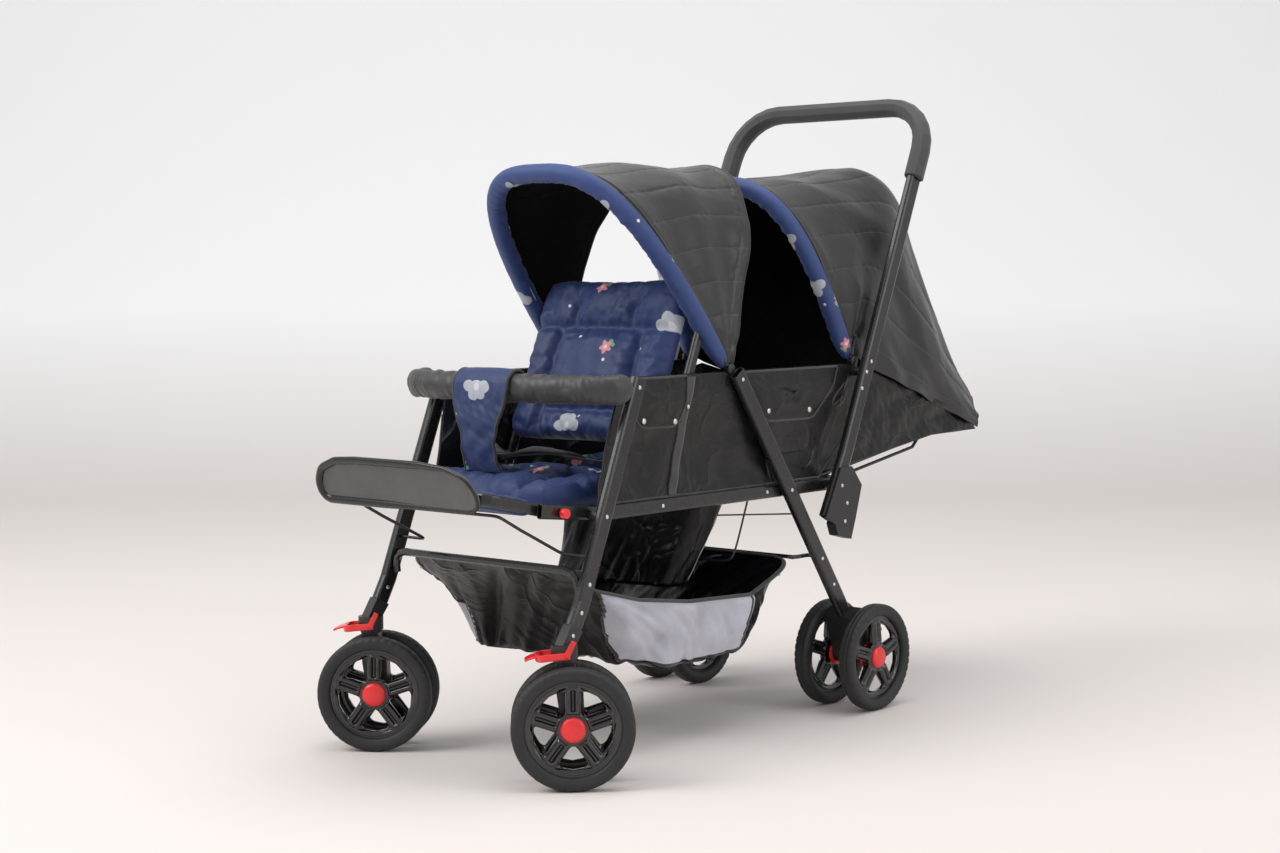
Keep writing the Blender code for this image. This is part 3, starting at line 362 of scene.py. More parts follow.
# ---------------------------------------------------------------- materials
class Nodes:
    """A short way to write a node tree."""

    def __init__(self, name):
        self.mat = bpy.data.materials.new(name)
        self.mat.use_nodes = True
        self.tree = self.mat.node_tree
        self.shader = self.tree.nodes["Principled BSDF"]

    def put(self, socket, value):
        if isinstance(value, bpy.types.NodeSocket):
            self.tree.links.new(value, socket)
        elif isinstance(value, (tuple, list)) and len(value) == 3 and socket.type == "RGBA":
            socket.default_value = (*value, 1.0)
        else:
            socket.default_value = value

    def add(self, kind, out=0, inputs=(), **props):
        node = self.tree.nodes.new("ShaderNode" + kind)
        for key, value in props.items():
            setattr(node, key, value)
        for key, value in dict(inputs).items():
            self.put(node.inputs[key], value)
        return node.outputs[out]

    def math(self, op, a, b=0.0):
        return self.add("Math", inputs={0: a, 1: b}, operation=op)

    def times(self, a, b):
        return self.math("MULTIPLY", a, b)

    def less(self, a, b):
        return self.math("SUBTRACT", a, b)

    def size(self, a):
        return self.math("ABSOLUTE", a)

    def mix(self, fac, a, b):
        node = self.tree.nodes.new("ShaderNodeMix")
        node.data_type = "RGBA"
        self.put(node.inputs["Factor"], fac)
        self.put(node.inputs["A"], a)
        self.put(node.inputs["B"], b)
        return node.outputs["Result"]

    def span(self, value, low, high, out_low=0.0, out_high=1.0):
        return self.add("MapRange", inputs={0: value, 1: low, 2: high, 3: out_low, 4: out_high})

    def noise(self, vector, scale, detail=3.0, rough=0.5, distortion=0.0):
        inputs = {"Vector": vector, "Scale": scale, "Detail": detail, "Roughness": rough,
                  "Distortion": distortion}
        return self.add("TexNoise", "Fac", inputs)

    def place(self, which="Object"):
        return self.add("TexCoord", which)

    def split(self, vector):
        node = self.tree.nodes.new("ShaderNodeSeparateXYZ")
        self.put(node.inputs[0], vector)
        return node.outputs

    def bump(self, height, strength, distance, under=None):
        inputs = {"Strength": strength, "Distance": distance, "Height": height}
        if under is not None:
            inputs["Normal"] = under
        return self.add("Bump", 0, inputs)

    def done(self, **inputs):
        for key, value in inputs.items():
            self.put(self.shader.inputs[key.replace("_", " ")], value)
        return self.mat


def tinted(colour, k):
    return tuple(min(1.0, c * k) for c in colour)


def paint(name, colour, rough, edge_wear_and_highlight=0.0, grain=900.0, grain_size=0.00006, coat=0.0, edge=0.0012,
          edge_wear_and_highlight_colour=(0.12, 0.12, 0.12)):
    """Hard surface: colour variation, fine grain, and softened edges lightened towards a paler colour, partly as
    wear and partly as a painted highlight.
    """
    g = Nodes(name)
    at = g.place()
    cloud = g.noise(at, 14.0, 4.0, 0.6)
    base = g.mix(g.span(cloud, 0.3, 0.7), tinted(colour, 0.86), tinted(colour, 1.14))
    soft = g.add("Bevel", 0, {"Radius": edge}, samples=4)
    # Edges are painted paler: partly wear, partly a painted highlight along the edges.
    if edge_wear_and_highlight:
        bare = g.add("NewGeometry", "Normal")
        dot = g.add("VectorMath", "Value", {0: soft, 1: bare}, operation="DOT_PRODUCT")
        worn_and_lit_edge_mask = g.span(dot, 0.995, 0.93)
        ragged = g.span(g.noise(at, 160.0, 3.0, 0.7), 0.40, 0.62)
        mask = g.times(g.times(worn_and_lit_edge_mask, ragged), edge_wear_and_highlight)
        base = g.mix(mask, base, edge_wear_and_highlight_colour)
    smear = g.span(g.noise(at, 45.0, 5.0, 0.65), 0.25, 0.75, rough * 0.85, rough * 1.2)
    normal = g.bump(g.noise(at, grain, 2.0, 0.6), 0.35, grain_size, soft)
    return g.done(Base_Color=base, Roughness=smear, Normal=normal, Coat_Weight=coat,
                  Coat_Roughness=0.12)


def woven(g, at, period):
    """Height of a plain weave; at is in metres."""
    xyz = g.split(at)
    u = g.math("SINE", g.times(xyz[0], 2 * math.pi / period))
    v = g.math("SINE", g.times(xyz[1], 2 * math.pi / period))
    return g.times(u, v)


def stitches(g, along, across, gap, width, length):
    """A dashed line: 1 on the thread, with across the distance from the seam."""
    near = g.math("LESS_THAN", g.size(across), width)
    beat = g.math("FRACT", g.math("DIVIDE", along, gap))
    return g.times(near, g.math("LESS_THAN", beat, length))


THREAD = (0.10, 0.10, 0.10)


def cloth(name, colour, rough, period, sheen, crease, spec, fold_scale=16.0, ridge=0.0, seam=0.0):
    """Plain woven fabric; seam is the spacing of its stitched seams, and ridge adds sharp creases."""
    g = Nodes(name)
    at = g.place("UV")
    body = g.place()
    cloud = g.noise(body, 9.0, 4.0, 0.55)
    base = g.mix(g.span(cloud, 0.25, 0.75), tinted(colour, 0.80), tinted(colour, 1.25))
    slub = g.noise(at, 420.0, 2.0, 0.5)
    base = g.mix(g.span(slub, 0.35, 0.75, 0.0, 0.35), base, tinted(colour, 1.5))
    xyz = g.split(at)
    weave = woven(g, at, period)
    folds = g.noise(body, fold_scale, 3.0, 0.5, 0.8)
    if ridge:
        sharp = g.noise(body, fold_scale * 0.8, 2.0, 0.45, 1.6)
        sharp = g.span(g.size(g.less(sharp, 0.5)), 0.0, 0.085, 1.0, 0.0)
        folds = g.math("ADD", folds, g.times(g.times(sharp, sharp), ridge))
    fine = g.noise(body, 85.0, 3.0, 0.6, 1.2)
    normal = g.bump(folds, crease, 0.006)
    normal = g.bump(fine, crease * 0.6, 0.0012, normal)
    normal = g.bump(weave, 0.22, 0.00012, normal)
    if seam:
        across = g.less(g.math("FLOORED_MODULO", xyz[1], seam), seam / 2)
        mark = stitches(g, xyz[0], across, 0.0042, 0.0005, 0.62)
        base = g.mix(mark, base, THREAD)
        # Cloth beside each seam, off the thread, is painted darker: painted shade in the seam's groove.
        seam_shade = g.less(1.0, g.span(g.size(across), 0.0, 0.0022))
        base = g.mix(g.times(g.less(seam_shade, mark), 0.45), base, tinted(colour, 0.3))
        normal = g.bump(mark, 0.6, 0.0004, normal)
    gloss = g.span(cloud, 0.3, 0.7, rough * 0.9, rough * 1.1)
    return g.done(Base_Color=base, Roughness=gloss, Normal=normal, Sheen_Weight=sheen,
                  Sheen_Roughness=0.45, Specular_IOR_Level=spec)


def cell(g, at, scale, seed, spread=0.75):
    """Scattered points: the vector from the nearest one in metres, and its random colour."""
    moved = g.add("VectorMath", 0, {0: at, 1: (seed * 0.37, seed * 0.61, 0.0)}, operation="ADD")
    node = g.tree.nodes.new("ShaderNodeTexVoronoi")
    node.voronoi_dimensions = "2D"
    g.put(node.inputs["Vector"], moved)
    node.inputs["Scale"].default_value = scale
    node.inputs["Randomness"].default_value = spread
    away = g.add("VectorMath", 0, {0: moved, 1: node.outputs["Position"]}, operation="SUBTRACT")
    return away, g.split(node.outputs["Color"])


def blob(g, away, radius, petals=0.0, depth=0.0, turn=0.0, shift=(0.0, 0.0), squeeze=1.0):
    """Soft-edged mask of a round or petalled spot."""
    xyz = g.split(away)
    x = g.less(xyz[0], shift[0])
    y = g.math("DIVIDE", g.less(xyz[1], shift[1]), squeeze)
    r = g.math("SQRT", g.math("ADD", g.times(x, x), g.times(y, y)))
    limit = radius
    if petals:
        angle = g.math("ADD", g.math("ARCTAN2", y, x), turn)
        ripple = g.math("COSINE", g.times(angle, petals))
        limit = g.times(g.math("ADD", g.times(ripple, depth), 1.0), radius)
    return g.span(g.less(limit, r), -0.0004, 0.0004)


def print_cloth(name, colour):
    """Navy fabric with a loose generic print: clouds, small flowers and dots."""
    g = Nodes(name)
    at = g.place("UV")
    body = g.place()
    cloud = g.noise(body, 8.0, 4.0, 0.55)
    base = g.mix(g.span(cloud, 0.25, 0.75), tinted(colour, 0.86), tinted(colour, 1.16))

    away, pick = cell(g, at, 6.6, 3.0, 0.62)
    chosen = g.math("GREATER_THAN", pick[0], 0.52)
    puffs = [((0.0, 0.0), 0.0155, 0.72), ((-0.0165, -0.003), 0.0105, 0.8), ((0.016, -0.002), 0.0115, 0.8),
             ((-0.006, 0.009), 0.0105, 0.9), ((0.0085, 0.008), 0.0095, 0.9)]
    mask = None
    for shift, radius, squeeze in puffs:
        one = blob(g, away, radius, shift=shift, squeeze=squeeze)
        mask = one if mask is None else g.math("MAXIMUM", mask, one)
    mask = g.times(mask, chosen)
    inner = g.times(blob(g, away, 0.0055, shift=(0.0015, -0.002)), chosen)
    base = g.mix(mask, base, (0.42, 0.44, 0.50))
    base = g.mix(inner, base, (0.60, 0.60, 0.63))

    away, pick = cell(g, at, 9.5, 11.0, 0.8)
    chosen = g.math("GREATER_THAN", pick[1], 0.60)
    flower = g.times(blob(g, away, 0.0098, 5.0, 0.24, 0.4), chosen)
    leaf = g.times(blob(g, away, 0.0048, 2.0, 0.5, 0.9, (0.009, 0.008)), chosen)
    heart = g.times(blob(g, away, 0.0032), chosen)
    base = g.mix(leaf, base, (0.16, 0.36, 0.18))
    base = g.mix(flower, base, (0.62, 0.24, 0.30))
    base = g.mix(heart, base, (0.75, 0.62, 0.40))

    away, pick = cell(g, at, 15.0, 23.0, 0.9)
    dot = g.times(blob(g, away, 0.0026), g.math("GREATER_THAN", pick[2], 0.66))
    base = g.mix(dot, base, (0.70, 0.72, 0.75))

    crease = 0.35
    normal = g.bump(g.noise(body, 26.0, 3.0, 0.5, 0.9), crease, 0.005)
    normal = g.bump(g.noise(body, 95.0, 3.0, 0.6, 1.0), crease * 0.55, 0.0012, normal)
    normal = g.bump(woven(g, at, 0.0012), 0.2, 0.00012, normal)
    return g.done(Base_Color=base, Roughness=g.span(cloud, 0.3, 0.7, 0.495, 0.616), Normal=normal,
                  Sheen_Weight=0.10, Sheen_Roughness=0.4, Specular_IOR_Level=0.45)


def ribbed(name, colour, period, rough, depth):
    """Webbing with ribs across its length."""
    g = Nodes(name)
    xyz = g.split(g.place("UV"))
    rib = g.math("SINE", g.times(xyz[1], 2 * math.pi / period))
    fuzz = g.noise(g.place(), 500.0, 3.0, 0.6)
    base = g.mix(g.span(fuzz, 0.3, 0.7), tinted(colour, 0.7), tinted(colour, 1.4))
    normal = g.bump(rib, 0.5, depth)
    normal = g.bump(fuzz, 0.4, 0.0002, normal)
    return g.done(Base_Color=base, Roughness=g.span(fuzz, 0.2, 0.8, rough * 0.9, min(1, rough * 1.1)),
                  Normal=normal, Sheen_Weight=0.3)


def net_cloth(name, colour):
    """Pale knitted mesh fabric: small dark holes between the threads."""
    g = Nodes(name)
    at = g.place("UV")
    body = g.place()
    xyz = g.split(at)
    period = 0.0026
    u = g.math("SINE", g.times(g.math("ADD", xyz[0], xyz[1]), 2 * math.pi / period))
    v = g.math("SINE", g.times(g.less(xyz[0], xyz[1]), 2 * math.pi / period))
    hole = g.span(g.times(u, v), 0.15, 0.6)
    cloud = g.noise(body, 18.0, 4.0, 0.6, 0.6)
    base = g.mix(g.span(cloud, 0.25, 0.75), tinted(colour, 0.82), tinted(colour, 1.15))
    # Holes are painted darker: the black bag inside and painted shade seen between the threads.
    base = g.mix(g.times(hole, 0.45), base, tinted(colour, 0.28))
    normal = g.bump(g.noise(body, 30.0, 3.0, 0.5, 0.8), 0.6, 0.004)
    normal = g.bump(hole, 0.3, 0.0003, normal)
    return g.done(Base_Color=base, Roughness=g.span(cloud, 0.2, 0.8, 0.62, 0.75), Normal=normal,
                  Sheen_Weight=0.25, Specular_IOR_Level=0.3)


def foam(name, colour):
    """Soft open foam of the grip."""
    g = Nodes(name)
    at = g.place()
    pores = g.noise(at, 1500.0, 3.0, 0.7)
    cloud = g.noise(at, 22.0, 4.0, 0.6)
    base = g.mix(g.span(cloud, 0.3, 0.7), tinted(colour, 0.85), tinted(colour, 1.15))
    # Pores are painted darker: painted shade in the pore hollows.
    base = g.mix(g.span(pores, 0.5, 0.75, 0.0, 0.5), base, tinted(colour, 0.4))
    normal = g.bump(pores, 0.5, 0.0002, g.add("Bevel", 0, {"Radius": 0.004}, samples=6))
    return g.done(Base_Color=base, Roughness=g.span(pores, 0.2, 0.8, 0.6, 0.8), Normal=normal,
                  Sheen_Weight=0.15)


def steel(name, colour, rough):
    """Bare metal with fine scratches."""
    g = Nodes(name)
    at = g.place()
    scratch = g.noise(at, 700.0, 4.0, 0.7)
    base = g.mix(g.span(scratch, 0.3, 0.7), tinted(colour, 0.8), colour)
    return g.done(Base_Color=base, Metallic=1.0,
                  Roughness=g.span(scratch, 0.2, 0.8, rough * 0.8, rough * 1.3),
                  Normal=g.bump(scratch, 0.3, 0.00005))


def tyre_rubber(name, colour):
    """Dusty black rubber."""
    g = Nodes(name)
    at = g.place()
    dust = g.noise(at, 30.0, 5.0, 0.65)
    base = g.mix(g.span(dust, 0.3, 0.75), tinted(colour, 0.8), tinted(colour, 1.5))
    grain = g.noise(at, 800.0, 2.0, 0.6)
    return g.done(Base_Color=base, Roughness=g.span(dust, 0.2, 0.8, 0.48, 0.68),
                  Normal=g.bump(grain, 0.4, 0.00008), Specular_IOR_Level=0.45)


CANOPY_SEAM = 0.056
HEM = 0.020
M = {
    "frame": paint("satin_black_paint", (0.010, 0.010, 0.011), 0.27, 0.55, 700.0, 0.00004, 0.25),
    "black": paint("black_plastic", (0.016, 0.016, 0.017), 0.42, 0.25, 1200.0, 0.00008),
    "charcoal": paint("charcoal_plastic", (0.018, 0.018, 0.019), 0.40, 0.25, 1200.0, 0.00008),
    "plate": paint("grey_foot_plate", (0.082, 0.082, 0.083), 0.50, 0.20, 1600.0, 0.00010, 0, 0.001,
                   (0.25, 0.25, 0.25)),
    "rubber_rim": paint("plate_rim_rubber", (0.010, 0.010, 0.011), 0.26, 0.15, 1300.0, 0.00005),
    "gloss": paint("gloss_rim_black", (0.008, 0.008, 0.009), 0.13, 0.0, 500.0, 0.00002, 0.6, 0.0008),
    "red": paint("red_plastic", (0.78, 0.018, 0.022), 0.30, 0.15, 900.0, 0.00004, 0.3, 0.0012,
                 (0.85, 0.12, 0.11)),
    "wire": paint("black_coated_wire", (0.022, 0.022, 0.023), 0.35, 0.2, 900.0, 0.00004),
    "foam": foam("foam_grip", (0.050, 0.050, 0.052)),
    "tyre": tyre_rubber("tyre_rubber", (0.017, 0.017, 0.018)),
    "rivet": steel("rivet_steel", (0.72, 0.72, 0.73), 0.28),
    "dark_steel": steel("axle_steel", (0.35, 0.35, 0.36), 0.38),
    "canopy": cloth("canopy_nylon", (0.0175, 0.0175, 0.0186), 0.36, 0.0011, 0.06, 0.30, 0.50, 9.0, 0.08,
                    CANOPY_SEAM),
    "panel": cloth("panel_nylon", (0.0050, 0.0050, 0.0054), 0.27, 0.0011, 0.01, 0.70, 0.36, 8.0, 0.22),
    "basket": cloth("basket_nylon", (0.0030, 0.0030, 0.0034), 0.26, 0.0012, 0.00, 0.65, 0.20, 9.0, 0.25),
    "sleeve": cloth("sleeve_nylon", (0.030, 0.030, 0.031), 0.44, 0.0011, 0.12, 0.35, 0.5),
    # Near-black for the inner faces of the canopies: painted shade inside them.
    "inside_shade": cloth("canopy_inside_painted_shade", (0.0045, 0.0045, 0.0050), 0.80, 0.0011, 0.0, 0.3, 0.12),
    "binding": ribbed("black_binding", (0.016, 0.016, 0.017), 0.0016, 0.65, 0.0002),
    "webbing": ribbed("black_webbing", (0.018, 0.018, 0.019), 0.0022, 0.7, 0.0004),
    # The seats' navy is darker than the same print on the canopy rims (roll): partly the fabric's own tone,
    # partly painted shade over the seats.
    "navy": print_cloth("navy_print", (0.014, 0.032, 0.120)),
    "roll": print_cloth("navy_rim_print", (0.028, 0.056, 0.185)),
    "net": net_cloth("grey_net", (0.50, 0.50, 0.57)),
}


# ---------------------------------------------------------------- wheels
RIM_OUT, WINDOW_IN, WINDOW_OUT = 0.0712, 0.0235, 0.0585


def rim_face(radius, turn):
    """Height of the rim's face above its middle plane, at a radius and an angle within one spoke."""
    x = radius * np.cos(turn) - 0.0415
    y = radius * np.sin(turn)
    half_l, half_w, corner = 0.0195, 0.0072, 0.0055
    qx = np.abs(x) - half_l + corner
    qy = np.abs(y) - half_w + corner
    d = np.hypot(np.maximum(qx, 0), np.maximum(qy, 0)) + np.minimum(np.maximum(qx, qy), 0) - corner
    loop = np.sqrt(np.clip(1 - (np.abs(d + 0.0010) / 0.0042) ** 2, 0, 1)) * 0.0042
    sunk = np.where(d < -0.004, -0.0015, 0.0)
    dish = 0.0052 - 0.0022 * step(radius, 0.020, 0.056)
    lip = 0.0030 * bell(radius - 0.0640, 0.0034) + 0.0018 * step(radius, 0.066, 0.0690)
    hub = 0.0016 * step(-radius, -0.0215, -0.0185)
    return dish + loop * step(radius, 0.0215, 0.0250) * step(-radius, -0.0630, -0.0595) + sunk + lip + hub


def rim_mesh():
    """Five looped spokes in one turned body; the windows between them go right through."""
    sector = 2 * math.pi / 5
    radii = np.concatenate([
        [0.0060, 0.0120, 0.0180, 0.0196, 0.0215],
        np.linspace(WINDOW_IN, WINDOW_OUT, 34),
        [0.0600, 0.0615, 0.0630, 0.0645, 0.0660, 0.0675, 0.0690, RIM_OUT],
    ])
    inside = (radii >= WINDOW_IN - 1e-9) & (radii <= WINDOW_OUT + 1e-9)
    f = np.clip((radii - WINDOW_IN) / (WINDOW_OUT - WINDOW_IN), 0, 1)
    spoke_half = np.clip(0.0118 / np.maximum(radii, 1e-6), 0, sector / 2 * 0.98)
    corner = np.maximum(np.clip(1 - f / 0.16, 0, 1), np.clip((f - 0.84) / 0.16, 0, 1))
    grow = 1 - np.sqrt(np.clip(1 - corner**2, 0, 1))
    spoke_half = spoke_half + (sector / 2 - spoke_half) * grow
    spoke_half = np.where(inside, spoke_half, np.clip(0.0118 / radii, 0, sector / 2 * 0.98))
    spoke_cols = np.concatenate([[-1.0, -0.965, -0.90], np.linspace(-0.78, 0.78, 15), [0.90, 0.965, 1.0]])
    window_cols = np.linspace(0, 1, 6)[1:-1]
    turns, kinds = [], []
    for k in range(5):
        mid = k * sector + math.pi / 2
        for s in spoke_cols:
            turns.append(mid + spoke_half * s)
            kinds.append(("spoke", s))
        for s in window_cols:
            turns.append(mid + spoke_half + (sector - 2 * spoke_half) * s)
            kinds.append(("window", s))
    turns = np.stack(turns, 1)
    cols = turns.shape[1]
    local = (turns - math.pi / 2 + sector / 2) % sector - sector / 2
    height = rim_face(radii[:, None], local)
    edge = np.array([abs(s) if kind == "spoke" else 0.0 for kind, s in kinds])
    drop = 0.0026 * np.clip((edge - 0.86) / 0.14, 0, 1) ** 2
    height = height - drop[None] * (inside & (f > 0.03) & (f < 0.97))[:, None]
    verts = []
    for way in (1, -1):
        for i, r in enumerate(radii):
            for j in range(cols):
                verts.append((way * height[i, j], r * math.cos(turns[i, j]), r * math.sin(turns[i, j])))
    rows, half = len(radii), len(radii) * cols
    window = [kinds[j][0] == "window" or kinds[(j + 1) % cols][0] == "window" for j in range(cols)]
    first, last = int(np.argmax(inside)), rows - 1 - int(np.argmax(inside[::-1]))
    solid = np.ones((rows - 1, cols), bool)
    for i in range(first, last):
        for j in range(cols):
            solid[i, j] = not window[j]
    faces = []
    for i in range(rows - 1):
        for j in range(cols):
            if not solid[i, j]:
                continue
            k = (j + 1) % cols
            a, b, c, d = i * cols + j, i * cols + k, (i + 1) * cols + k, (i + 1) * cols + j
            faces += [(a, b, c, d), (d + half, c + half, b + half, a + half)]
            if i == 0 or not solid[i - 1, j]:
                faces.append((b, a, a + half, b + half))
            if i == rows - 2 or not solid[i + 1, j]:
                faces.append((d, c, c + half, d + half))
            if not solid[i, (j - 1) % cols]:
                faces.append((a, d, d + half, a + half))
            if not solid[i, k]:
                faces.append((c, b, b + half, c + half))
    return outward(make("rim_shape", verts, faces, M["gloss"]))


def tyre_mesh():
    """A moulded tyre: shoulder blocks, two tread grooves and a ring on the side wall."""
    half = 0.0130
    profile = [
        (-0.0092, 0.0700), (-0.0108, 0.0712), (-0.0118, 0.0730), (-0.0120, 0.0745), (-0.0127, 0.0756),
        (-0.0129, 0.0790), (-0.0130, 0.0812), (-0.0127, 0.0836), (-0.0120, 0.0856), (-0.0108, 0.0872),
        (-0.0092, 0.0883), (-0.0072, 0.0889), (-0.0050, 0.0892), (-0.0044, 0.0884), (-0.0036, 0.0884),
        (-0.0030, 0.0893), (0.0, 0.0893),
    ]
    profile += [(-x, r) for x, r in reversed(profile[:-1])]
    profile += [(0.0080, 0.0690), (0.0, 0.0688), (-0.0080, 0.0690)]
    per, blocks = 5, 44
    cols = per * blocks
    verts = []
    for j in range(cols):
        a = 2 * math.pi * j / cols
        groove = 1.0 if j % per == 0 else 0.0
        for x, r in profile:
            shoulder = step(r, 0.0826, 0.0842) * step(abs(x), 0.0060, 0.0080)
            cut = 0.0011 * groove * float(shoulder)
            rr = r - cut
            xx = x - math.copysign(cut * 0.8, x) if abs(x) > 0.0100 else x
            verts.append((min(half, max(-half, xx)), rr * math.cos(a), rr * math.sin(a)))
    return outward(make("tyre_shape", verts, grid_faces(cols, len(profile), True, True), M["tyre"]))


def put(shape, name, matrix, body, node):
    """One more object that shares the mesh of a shape."""
    obj = bpy.data.objects.new(name, shape.data)
    bpy.context.scene.collection.objects.link(obj)
    obj.matrix_world = matrix
    fit(obj, body, node)


def dome(radius, height, base=0.0, ease=6):
    """Profile of a low domed cap that starts below its seat."""
    profile = [(base - 0.001, 0.0), (base - 0.001, radius), (base, radius)]
    for k in range(1, ease + 1):
        a = math.pi / 2 * k / ease
        profile.append((base + height * math.sin(a), radius * math.cos(a) if k < ease else 0.0))
    return profile


HUB_CAP = [(0.0030, 0), (0.0030, 0.0172), (0.0060, 0.0184), (0.0092, 0.0180), (0.0114, 0.0158),
           (0.0128, 0.0118), (0.0135, 0.0064), (0.0137, 0)]
BRAKE_DISC = [(-0.0030, 0), (-0.0030, 0.0205), (-0.0024, 0.0215), (0.0006, 0.0215),
              (0.0014, 0.0200), (0.0014, 0.0140), (0.0004, 0.0125), (0.0004, 0)]


def build_wheels():
    rim, tyre = rim_mesh(), tyre_mesh()
    cap = lathe("cap_shape", HUB_CAP, M["red"])
    disc = lathe("disc_shape", BRAKE_DISC, M["red"])
    for end in ("front", "rear"):
        for side, s in SIDES:
            for tag in ("outer", "inner"):
                key = f"{end}_{side}_{tag}"
                body = f"wheel_{key}"
                joint = JOINTS[body + "_spin"]
                axis = Vector(joint["axis"])
                way = s if tag == "outer" else -s
                out = axis * (1 if axis.x * way > 0 else -1)
                turn = math.atan2(out.y, out.x)
                spot = Matrix.Translation(Vector(joint["pos_m"])) @ Matrix.Rotation(turn, 4, "Z")
                put(rim, f"spoked_rim_{key}", spot, body, f"rim_{key}")
                put(tyre, f"moulded_tyre_{key}", spot, body, f"tyre_{key}")
                put(cap, f"hub_cap_{key}", spot, body, None)
                holder, back = (f"caster_{side}", 0.0155) if end == "front" else ("rear_legs", 0.0130)
                inner = spot @ Matrix.Translation((-back, 0, 0))
                put(disc, f"brake_disc_{key}", inner, holder, None)
    for shape in (rim, tyre, cap, disc):
        bpy.data.objects.remove(shape)


# ---------------------------------------------------------------- frame, hardware and small parts
KEPT = {
    "frame": ["seat_rail", "rear_leg_frame", "front_back_frame", "rear_back_frame", "legrest_frame",
              "handle_tube", "basket_hoop", "front_leg_left", "front_leg_right", "armrest_left", "armrest_right"],
    "wire": ["legrest_stay", "front_canopy_hoop", "rear_canopy_hoop"],
    "black": ["caster_socket_left", "caster_socket_right", "caster_fork_left", "caster_fork_right",
              "axle_block_left", "axle_block_right"],
    "charcoal": ["latch_housing_left", "latch_housing_right"],
    "foam": ["handle_grip"],
    "red": ["release_knob_left", "release_knob_right", "brake_pedal_left", "brake_pedal_right"],
}


def paint_kept():
    for key, names in KEPT.items():
        for name in names:
            obj = NODES[name]
            obj.data.materials.clear()
            obj.data.materials.append(M[key])


def studs(name, body, spots, radius=0.0034, height=0.0016):
    """Domed rivet heads at (x, y, z, way): they stand on a face that looks along +X or -X."""
    parts = []
    for x, y, z, way in spots:
        one = lathe("stud", dome(radius, height, -0.0003, 4), M["rivet"], 14)
        turned = Matrix.Rotation(0 if way > 0 else math.pi, 4, "Z")
        one.matrix_basis = Matrix.Translation(world(x, y, z)) @ turned
        parts.append(one)
    return fit(merged(name, parts, M["rivet"]), body)


LEG_LINE = ((0.033, 0.228), (0.052, 0.262), (0.175, 0.567))
REAR_LEG_TOP, REAR_LEG_SLOPE = (0.439, 0.567), 0.6849


def leg_at(z):
    """The front leg's middle line at a height, in the side view."""
    (y0, z0), (y1, z1) = LEG_LINE[1:] if z > LEG_LINE[1][1] else LEG_LINE[:2]
    return y0 + (z - z0) * (y1 - y0) / (z1 - z0)


def build_studs():
    """Rivet heads on the outer faces of the tubes."""
    face, inner = LEG_X + LEG_T / 2, LEG_X - LEG_T / 2
    rear_face, rail = REAR_X + LEG_T / 2, RAIL_X + RAIL_T / 2
    legs, rears, handles, arms = [], [], [], []
    for _, s in SIDES:
        for z in (0.3820, 0.5670, 0.2870, 0.2480):
            legs.append((s * face, leg_at(z), z, s))
        for z in (0.2870, 0.2480):
            legs.append((s * inner, leg_at(z), z, -s))
        legs.append((s * (LEG_X + 0.0084), 0.024, 0.2175, s))
        for z in (REAR_LEG_TOP[1], 0.382, 0.262, 0.215):
            rears.append((s * rear_face, REAR_LEG_TOP[0] + (REAR_LEG_TOP[1] - z) * REAR_LEG_SLOPE, z, s))
        plate = face + 0.0043
        for y, z in ((0.676, 0.382), (0.690, 0.352), (0.684, 0.322)):
            handles.append((s * plate, y, z, s))
        for y, z in ((0.752, 0.567), (0.7655, 0.584), (0.7385, 0.540)):
            handles.append((s * face, y, z, s))
        for y, z in ((0.330, 0.567), (0.322, 0.530)):
            arms.append((s * (rail + 0.0012), y, z, s))
    studs("rivets_front_legs", "front_legs", legs)
    studs("rivets_rear_legs", "rear_legs", rears)
    studs("rivets_handle", "handle", handles)
    studs("rivets_armrests", "armrests", arms)
    rails = [(s * rail, y, 0.382, s) for _, s in SIDES for y in (0.262, 0.52)]
    studs("rivets_seat_rail", "seat_frame", rails)


def rounded_outline(points, radius, steps=5):
    """A closed outline with rounded corners."""
    result = []
    count = len(points)
    for i in range(count):
        before, here, after = (Vector(points[k % count]) for k in (i - 1, i, i + 1))
        a, b = (before - here).normalized(), (after - here).normalized()
        r = radius[i] if isinstance(radius, (list, tuple)) else radius
        half = a.angle(b) / 2
        reach = min(r / math.tan(half), (before - here).length * 0.48, (after - here).length * 0.48)
        r = reach * math.tan(half)
        centre = here + (a + b).normalized() * r / math.sin(half)
        start, end = here + a * reach - centre, here + b * reach - centre
        turn = start.angle(end)
        for k in range(steps + 1):
            f = k / steps
            mixed = (start * math.sin((1 - f) * turn) + end * math.sin(f * turn)) / math.sin(turn)
            result.append(centre + mixed)
    return result


